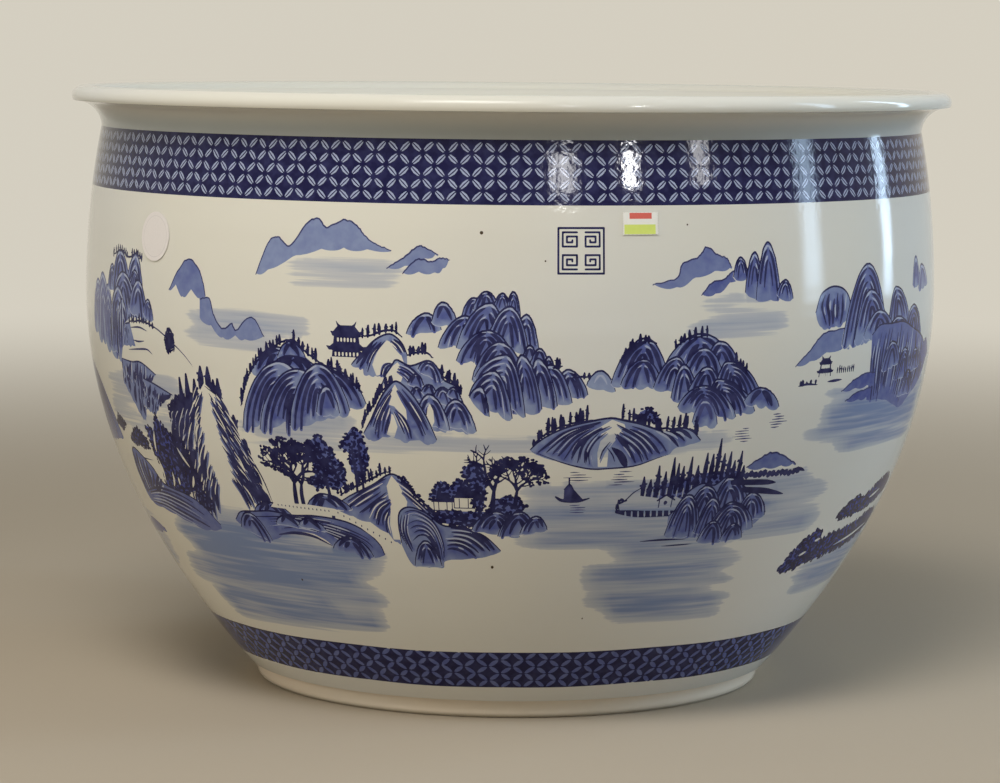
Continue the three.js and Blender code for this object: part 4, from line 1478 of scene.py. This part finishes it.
# Materials: colours are linear
glaze = {
    "porcelain": (0.685, 0.665, 0.585),
    "porcelainCool": (0.655, 0.655, 0.62),
    "washBlue": (0.18, 0.24, 0.41),
    "tintBlue": (0.34, 0.385, 0.54),
    "paleBlue": (0.27, 0.33, 0.49),
    "deepBlue": (0.042, 0.056, 0.26),
    "thinInk": (0.085, 0.095, 0.26),
    "denseInk": (0.006, 0.006, 0.052),
    "iron": (0.055, 0.035, 0.016),
    "footClay": (0.62, 0.56, 0.45),
    "footGrain": (0.46, 0.42, 0.35),
    # the foot's two glaze tones are painted warmer and brighter than the body's, as painted warm light bounced up from
    # below
    "footBounceLitWarm": (0.86, 0.72, 0.56),
    "footBounceLitCool": (0.78, 0.70, 0.58),
    # painted shade in the cove under the lip, and partly the glaze pooling there: its grey, and the heights and radius
    # that bound it
    "shadeAndPoolGrey": (0.40, 0.43, 0.43),
    "shadeAndPoolTop": 0.403,          # m, where the grey painted into the cove runs out: painted shade under the lip, and partly glaze pooled there
    "shadeAndPoolBottom": (neckHeight + 4) * metre,
    "shadeAndPoolReach": (neckRadius - 4) * metre,
    "wiped": (0.0012, 0.0032),  # m, over which the bare clay at the foot turns into glaze
    "roughness": 0.07,
    "index": 1.38,
    "shine": 0.34,
    "paintedGrit": 0.03,       # how strong the orange peel is
    "bandGrit": 0.12,
    "rings": (0.6, 6.0, 9.0, 0.5),      # throwing waves: stretch across and up, scale and height
    "broad": (11.0, 0.6),      # scale and height of the slow waves
    "peel": 240.0,
    "bump": (0.22, 0.004),     # strength and reach
    "cloud": (3.0, 0.38, 0.62),         # scale of the two porcelain tones, and where each is pure
    "streaks": (9.0, 75.0, 1.7),        # stretch across and up, and weight
    "hairs": (16.0, 480.0, 1.5),
    "thinning": 0.6,           # what the streaks take off the wash
    "unevenScale": 160.0,
    "unevenFill": 0.5,
    "unevenInk": 0.55,
    "grainScale": 900.0,
    "grainBump": (0.15, 0.0006),
    "clayRoughness": 0.75,
    "footRoughness": 0.12,
}


# a node tree with short calls for the nodes that are used most
class Nodes:
    def __init__(self, tree):
        self.tree = tree

    # a key such as i0 is the number of an input, and any other key its name
    def join(self, item, inputs):
        for key, value in inputs.items():
            socket = item.inputs[int(key[1:]) if key[1:].isdigit() else key]
            if isinstance(value, bpy.types.NodeSocket):
                self.tree.links.new(value, socket)
            else:
                socket.default_value = (*value, 1) if socket.type == "RGBA" else value
        return item

    def add(self, kind, settings=None, **inputs):
        item = self.tree.nodes.new("ShaderNode" + kind)
        for key, value in (settings or {}).items():
            setattr(item, key, value)
        return self.join(item, inputs)

    def blend(self, amount, low, high):
        return self.add("Mix", {"data_type": "RGBA"}, i0=amount, i6=low, i7=high).outputs[2]

    def maths(self, kind, a, b=0.0, clamp=False):
        return self.add("Math", {"operation": kind, "use_clamp": clamp}, i0=a, i1=b).outputs[0]

    def times(self, a, b, clamp=False):
        return self.maths("MULTIPLY", a, b, clamp)

    def plus(self, a, b, clamp=False):
        return self.maths("ADD", a, b, clamp)

    def over(self, a, b):
        return self.maths("GREATER_THAN", a, b)

    def under(self, a, b):
        return self.maths("LESS_THAN", a, b)

    # from one range to another, eased at both ends where it is smooth
    def ramp(self, value, start=0.0, end=1.0, low=0.0, high=1.0, smooth=False):
        return self.add("MapRange", {"interpolation_type": "SMOOTHSTEP" if smooth else "LINEAR"}, Value=value, i1=start,
                        i2=end, i3=low, i4=high).outputs[0]

    def stretched(self, place, across, up):
        return self.add("Mapping", Vector=place, Scale=(across, across, up)).outputs[0]

    def noise(self, place, scale, detail=2.0, roughness=0.5):
        return self.add("TexNoise", Vector=place, Scale=scale, Detail=detail, Roughness=roughness).outputs[0]

    def bump(self, height, strength, distance):
        return self.add("Bump", Strength=strength, Distance=distance, Height=height).outputs[0]

    def laid(self, key, output="Fac"):
        return self.add("Attribute", {"attribute_name": key}).outputs[output]

    def length(self, vector):
        return self.add("VectorMath", {"operation": "LENGTH"}, i0=vector).outputs["Value"]

    def parts(self, vector):
        return self.add("SeparateXYZ", i0=vector).outputs

    # 1 for what the camera sees, straight or in a reflection
    def lookedAt(self):
        ray = self.add("LightPath").outputs
        return self.plus(self.plus(ray["Is Camera Ray"], ray["Is Glossy Ray"]), ray["Is Transmission Ray"], True)


# a new material with its nodes, its shader and the place on the object
def newFinish(name):
    material = bpy.data.materials.new(name)
    material.use_nodes = True
    nodes = Nodes(material.node_tree)
    nodes.tree.nodes.clear()
    shader = nodes.add("BsdfPrincipled")
    nodes.add("OutputMaterial", Surface=shader.outputs["BSDF"])
    return material, nodes, shader, nodes.add("TexCoord").outputs["Object"]


# slow waves left by throwing and a faint orange peel, which bend the highlights
def glazed(nodes, shader, place, colour, grit=glaze["paintedGrit"]):
    sideways, up, ringScale, ringHeight = glaze["rings"]
    rings = nodes.times(nodes.noise(nodes.stretched(place, sideways, up), ringScale, 1.0), ringHeight)
    broadScale, broadHeight = glaze["broad"]
    broad = nodes.times(nodes.noise(place, broadScale, 1.0), broadHeight)
    height = nodes.plus(nodes.plus(rings, broad), nodes.times(nodes.noise(place, glaze["peel"]), grit))
    nodes.join(shader, {"Base Color": colour, "Normal": nodes.bump(height, *glaze["bump"]), "IOR": glaze["index"],
                        "Roughness": glaze["roughness"], "Specular IOR Level": glaze["shine"]})


def porcelainColour(nodes, place, warm=glaze["porcelain"], cool=glaze["porcelainCool"]):
    scale, low, high = glaze["cloud"]
    return nodes.blend(nodes.ramp(nodes.noise(place, scale), low, high), warm, cool)


# the cove under the lip is painted greyer: painted shade under the overhang, and partly the glaze pooling there
def whiteGlaze():
    material, nodes, shader, place = newFinish("whiteGlaze")
    x, y, z = nodes.parts(place)
    outside = nodes.over(nodes.length(nodes.add("CombineXYZ", X=x, Y=y).outputs[0]), glaze["shadeAndPoolReach"])
    low = nodes.ramp(z, glaze["shadeAndPoolTop"], glaze["shadeAndPoolBottom"], smooth=True)
    # the grey painted on the outside of the cove is painted shade, and partly pooled glaze
    pooledAndShaded = nodes.blend(nodes.times(outside, low), porcelainColour(nodes, place), glaze["shadeAndPoolGrey"])
    glazed(nodes, shader, place, pooledAndShaded)
    return material


# porcelain, then the wash, the fills and the ink, each laid where the mesh says
def brushedGlaze(name, grit):
    material, nodes, shader, place = newFinish(name)
    uneven = nodes.maths("SUBTRACT", nodes.noise(place, glaze["unevenScale"]), 0.5)
    # the wash breaks into long streaks where it thins out, as a flat brush leaves it
    streaks = [nodes.times(nodes.noise(nodes.stretched(place, sideways, up), 1.0, detail), weight)
               for detail, (sideways, up, weight) in ((1.0, glaze["streaks"]), (2.0, glaze["hairs"]))]
    level = nodes.times(nodes.laid("wash"), nodes.maths("SUBTRACT", nodes.plus(*streaks), glaze["thinning"]))
    washed = nodes.times(nodes.ramp(level, 0.2, 0.3, smooth=True), nodes.ramp(level, 0.2, 1.0, 0.3), True)
    depth = nodes.plus(nodes.laid("fillTone"), nodes.times(uneven, glaze["unevenFill"]), True)
    density = nodes.ramp(nodes.laid("inkTone"), painting["thinnestInk"])
    density = nodes.plus(density, nodes.times(uneven, glaze["unevenInk"]), True)
    colour = nodes.blend(washed, porcelainColour(nodes, place), glaze["washBlue"])
    colour = nodes.blend(nodes.laid("tint"), colour, glaze["tintBlue"])
    colour = nodes.blend(nodes.laid("fill"), colour, nodes.blend(depth, glaze["paleBlue"], glaze["deepBlue"]))
    colour = nodes.blend(nodes.laid("ink"), colour, nodes.blend(density, glaze["thinInk"], glaze["denseInk"]))
    glazed(nodes, shader, place, nodes.blend(nodes.laid("iron"), colour, glaze["iron"]), grit)
    return material


# bare clay where the foot was wiped, then glaze whose tones carry painted warm bounce light from below
def footGlaze():
    material, nodes, shader, place = newFinish("footGlaze")
    wiped = nodes.ramp(nodes.parts(place)["Z"], *glaze["wiped"])
    grain = nodes.noise(place, glaze["grainScale"], 3.0)
    clay = nodes.blend(grain, glaze["footClay"], glaze["footGrain"])
    colour = nodes.blend(wiped, clay, porcelainColour(nodes, place, glaze["footBounceLitWarm"], glaze["footBounceLitCool"]))
    nodes.join(shader, {"Base Color": colour, "Normal": nodes.bump(grain, *glaze["grainBump"]),
                        "Roughness": nodes.ramp(wiped, low=glaze["clayRoughness"], high=glaze["footRoughness"])})
    return material


paper = {
    "lotWhite": (0.74, 0.70, 0.68),
    "lotRing": (0.3, 0.28, 0.3),
    "ringInner": 13.1,
    "ringOuter": 13.5,
    "ringDepth": 0.25,
    "priceWhite": (0.78, 0.77, 0.72),
    "headRed": (0.62, 0.10, 0.07),
    "headBox": (2.9, 6.6, -7.2, 7.2),      # bottom, top, left and right, mm
    "fieldGreen": (0.62, 0.72, 0.14),
    "fieldBox": (-6.6, -0.6, -10.6, 9.6),
    "roughness": 0.62,
    "fibre": (700.0, 4.0, 0.7),            # scale, detail and roughness of the noise
    "fibreBump": (0.25, 0.0002),
    "fibreShade": (0.12, 0.94),
}


def paperMaterial(name, printed):
    material, nodes, shader, place = newFinish(name)
    fibre = nodes.noise(place, *paper["fibre"])
    strength, darkest = paper["fibreShade"]
    shade = nodes.plus(nodes.times(fibre, strength), darkest)
    colour = printed(nodes, *nodes.parts(nodes.laid("sheet", "Vector"))[:2])
    tinted = nodes.add("VectorMath", {"operation": "SCALE"}, i0=colour, Scale=shade).outputs[0]
    nodes.join(shader, {"Base Color": tinted, "Normal": nodes.bump(fibre, *paper["fibreBump"]),
                        "Roughness": paper["roughness"]})
    return material


def lotPrint(nodes, x, y):
    reach = nodes.maths("SQRT", nodes.plus(nodes.times(x, x), nodes.times(y, y)))
    ring = nodes.times(nodes.over(reach, paper["ringInner"]), nodes.under(reach, paper["ringOuter"]))
    return nodes.blend(nodes.times(ring, paper["ringDepth"]), paper["lotWhite"], paper["lotRing"])


def pricePrint(nodes, x, y):
    colour = paper["priceWhite"]
    for block, shade in (("headBox", "headRed"), ("fieldBox", "fieldGreen")):
        low, high, left, right = paper[block]
        inside = nodes.times(nodes.times(nodes.over(y, low), nodes.under(y, high)),
                             nodes.times(nodes.over(x, left), nodes.under(x, right)))
        colour = nodes.blend(inside, colour, paper[shade])
    return colour


print("painting done")
whiteFinish, paintedFinish = whiteGlaze(), brushedGlaze("paintedGlaze", glaze["paintedGrit"])
bellyJoint = vessel["bellyJointHeight"]
pieces = [
    (wallSection("bellyWall", bellyJoint, shoulderJoint, 4), "belly_wall", "painted_glaze", paintedFinish),
    (lowerWall("lowerWall", bellyJoint, 3), "lower_wall", "painted_glaze", paintedFinish),
    (wallSection("shoulderWall", shoulderJoint, neckHeight, 8), "shoulder_wall", "band_glaze",
     brushedGlaze("bandGlaze", glaze["bandGrit"])),
    (rolledLip(), "rim_lip", "white_glaze", whiteFinish),
    (baseFloor(), "base_floor", "white_glaze", whiteFinish),
    (footRing(), "foot_ring", "foot_glaze", footGlaze()),
    (lotLabel(), "lot_label", "label_paper", paperMaterial("labelPaper", lotPrint)),
    (priceLabel(), "price_label", "price_paper", paperMaterial("pricePaper", pricePrint)),
]
for piece, node, slotName, material in pieces:
    piece.data.materials.append(material)
    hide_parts(node)
    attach(piece, "root")
print("pieces placed")

# Floor, light and camera
studio = {
    "floorColour": (0.42, 0.355, 0.27),
    "groundColour": (0.66, 0.62, 0.53),
    "floorSize": 60.0,
    "floorRoughness": 0.9,
    "fadeStart": 0.7,
    "fadeEnd": 3.2,
    "worldLevel": 0.34,
    "softEdge": (0.12, 0.0, 1.7),       # how far from its middle a lamp is full, and its lowest and full level
    "tallEdge": (0.36, 0.0, 1.3),
}
daylight = (0.58, 0.78, 1)
lamps = {
    "ceiling": dict(place=(-0.4, -1.7, 2.3), target=(0, 0, 0.25), size=1.6, power=44, colour=(1, 0.99, 0.97)),
    "window": dict(place=(2.3, -0.35, 1.0), target=(0, 0, 0.9), size=0.4, power=16, tall=1.9, colour=daylight),
    "door": dict(place=(2.1, 0.9, 1.0), target=(0, 0, 0.9), size=0.3, power=11, tall=1.9, colour=daylight),
    "wall": dict(place=(-2.0, -1.2, 0.9), target=(0, 0, 0.25), size=1.6, power=9, colour=(1, 0.96, 0.86), shine=False),
    # far window panes, which only show as bright spots in the glaze
    "paneRight": dict(place=(1.62, -2.71, 1.2), target=(0.08, -0.28, 0.364), size=0.24, power=12, tall=0.4, fill=False),
    "paneMiddle": dict(place=(0.72, -3.1, 1.18), target=(0.02, -0.29, 0.364), size=0.42, power=8, tall=0.5, fill=False),
    "paneFar": dict(place=(2.35, -1.95, 1.2), target=(0.12, -0.26, 0.364), size=0.3, power=3.5, tall=0.4, fill=False),
}


# far from the vessel the floor turns into the pale ground behind it, for the camera and for reflections
def studioFloor():
    shape = bmesh.new()
    bmesh.ops.create_grid(shape, x_segments=1, y_segments=1, size=studio["floorSize"] / 2)
    mesh = bpy.data.meshes.new("studioFloor")
    shape.to_mesh(mesh)
    shape.free()
    material, nodes, shader, place = newFinish("floorPaper")
    nodes.join(shader, {"Base Color": studio["floorColour"], "Roughness": studio["floorRoughness"]})
    far = nodes.ramp(nodes.length(place), studio["fadeStart"], studio["fadeEnd"], smooth=True)
    ground = nodes.add("Emission", Color=studio["groundColour"], Strength=1.0)
    mixed = nodes.add("MixShader", i0=nodes.times(far, nodes.lookedAt()), i1=shader.outputs[0], i2=ground.outputs[0])
    out = next(n for n in nodes.tree.nodes if n.type == "OUTPUT_MATERIAL")
    nodes.join(out, {"Surface": mixed.outputs[0]})
    mesh.materials.append(material)
    linked("studioFloor", mesh)


# the lamp fades towards its edges, so that its reflection in the glaze has no hard border
def softLamp(name, place, target, size, power, tall=None, colour=(1, 1, 1), shine=True, fill=True):
    lamp = bpy.data.lights.new(name, "AREA")
    lamp.shape = "RECTANGLE"
    lamp.size, lamp.size_y = size, tall or size
    lamp.energy, lamp.color, lamp.use_nodes = power, colour, True
    nodes = Nodes(lamp.node_tree)
    spot = nodes.add("NewGeometry").outputs["Parametric"]
    offset = nodes.add("VectorMath", {"operation": "SUBTRACT"}, i0=spot, i1=(0.5, 0.5, 0)).outputs[0]
    edges = studio["softEdge"], studio["tallEdge" if tall else "softEdge"]
    fades = [nodes.ramp(nodes.maths("ABSOLUTE", side), 0.5, *edge, smooth=True)
             for side, edge in zip(nodes.parts(offset), edges)]
    glow = next(n for n in nodes.tree.nodes if n.type == "EMISSION")
    nodes.join(glow, {"Strength": nodes.times(*fades)})
    thing = linked(name, lamp)
    thing.location = place
    thing.rotation_euler = (Vector(target) - Vector(place)).to_track_quat("-Z", "Y").to_euler()
    thing.visible_glossy, thing.visible_diffuse = shine, fill


def lights():
    world = bpy.data.worlds.new("studioWorld")
    bpy.context.scene.world = world
    world.use_nodes = True
    nodes = Nodes(world.node_tree)
    nodes.tree.nodes.clear()
    level = nodes.ramp(nodes.lookedAt(), low=studio["worldLevel"])
    ground = nodes.add("Background", Color=studio["groundColour"], Strength=level)
    nodes.add("OutputWorld", Surface=ground.outputs[0])
    for name, lamp in lamps.items():
        softLamp(name, **lamp)


camera = {
    "place": (0.0, -2.350, 0.4467),
    "tilt": 90 - 6.038,
    "roll": 0.52,
    "lens": 120.6,
    "sensor": 36.0,
    "shift": -0.0092,
    "clip": (0.05, 100),
}


def photoCamera():
    data = bpy.data.cameras.new("photoCamera")
    data.lens, data.sensor_width, data.shift_x = camera["lens"], camera["sensor"], camera["shift"]
    data.clip_start, data.clip_end = camera["clip"]
    eye = linked("photoCamera", data)
    turn = Matrix.Rotation(math.radians(camera["tilt"]), 4, "X") @ Matrix.Rotation(math.radians(camera["roll"]), 4, "Z")
    eye.matrix_world = Matrix.Translation(camera["place"]) @ turn
    bpy.context.scene.camera = eye


studioFloor()
lights()
photoCamera()
bpy.context.scene.view_settings.view_transform = "Standard"
print("studio ready")
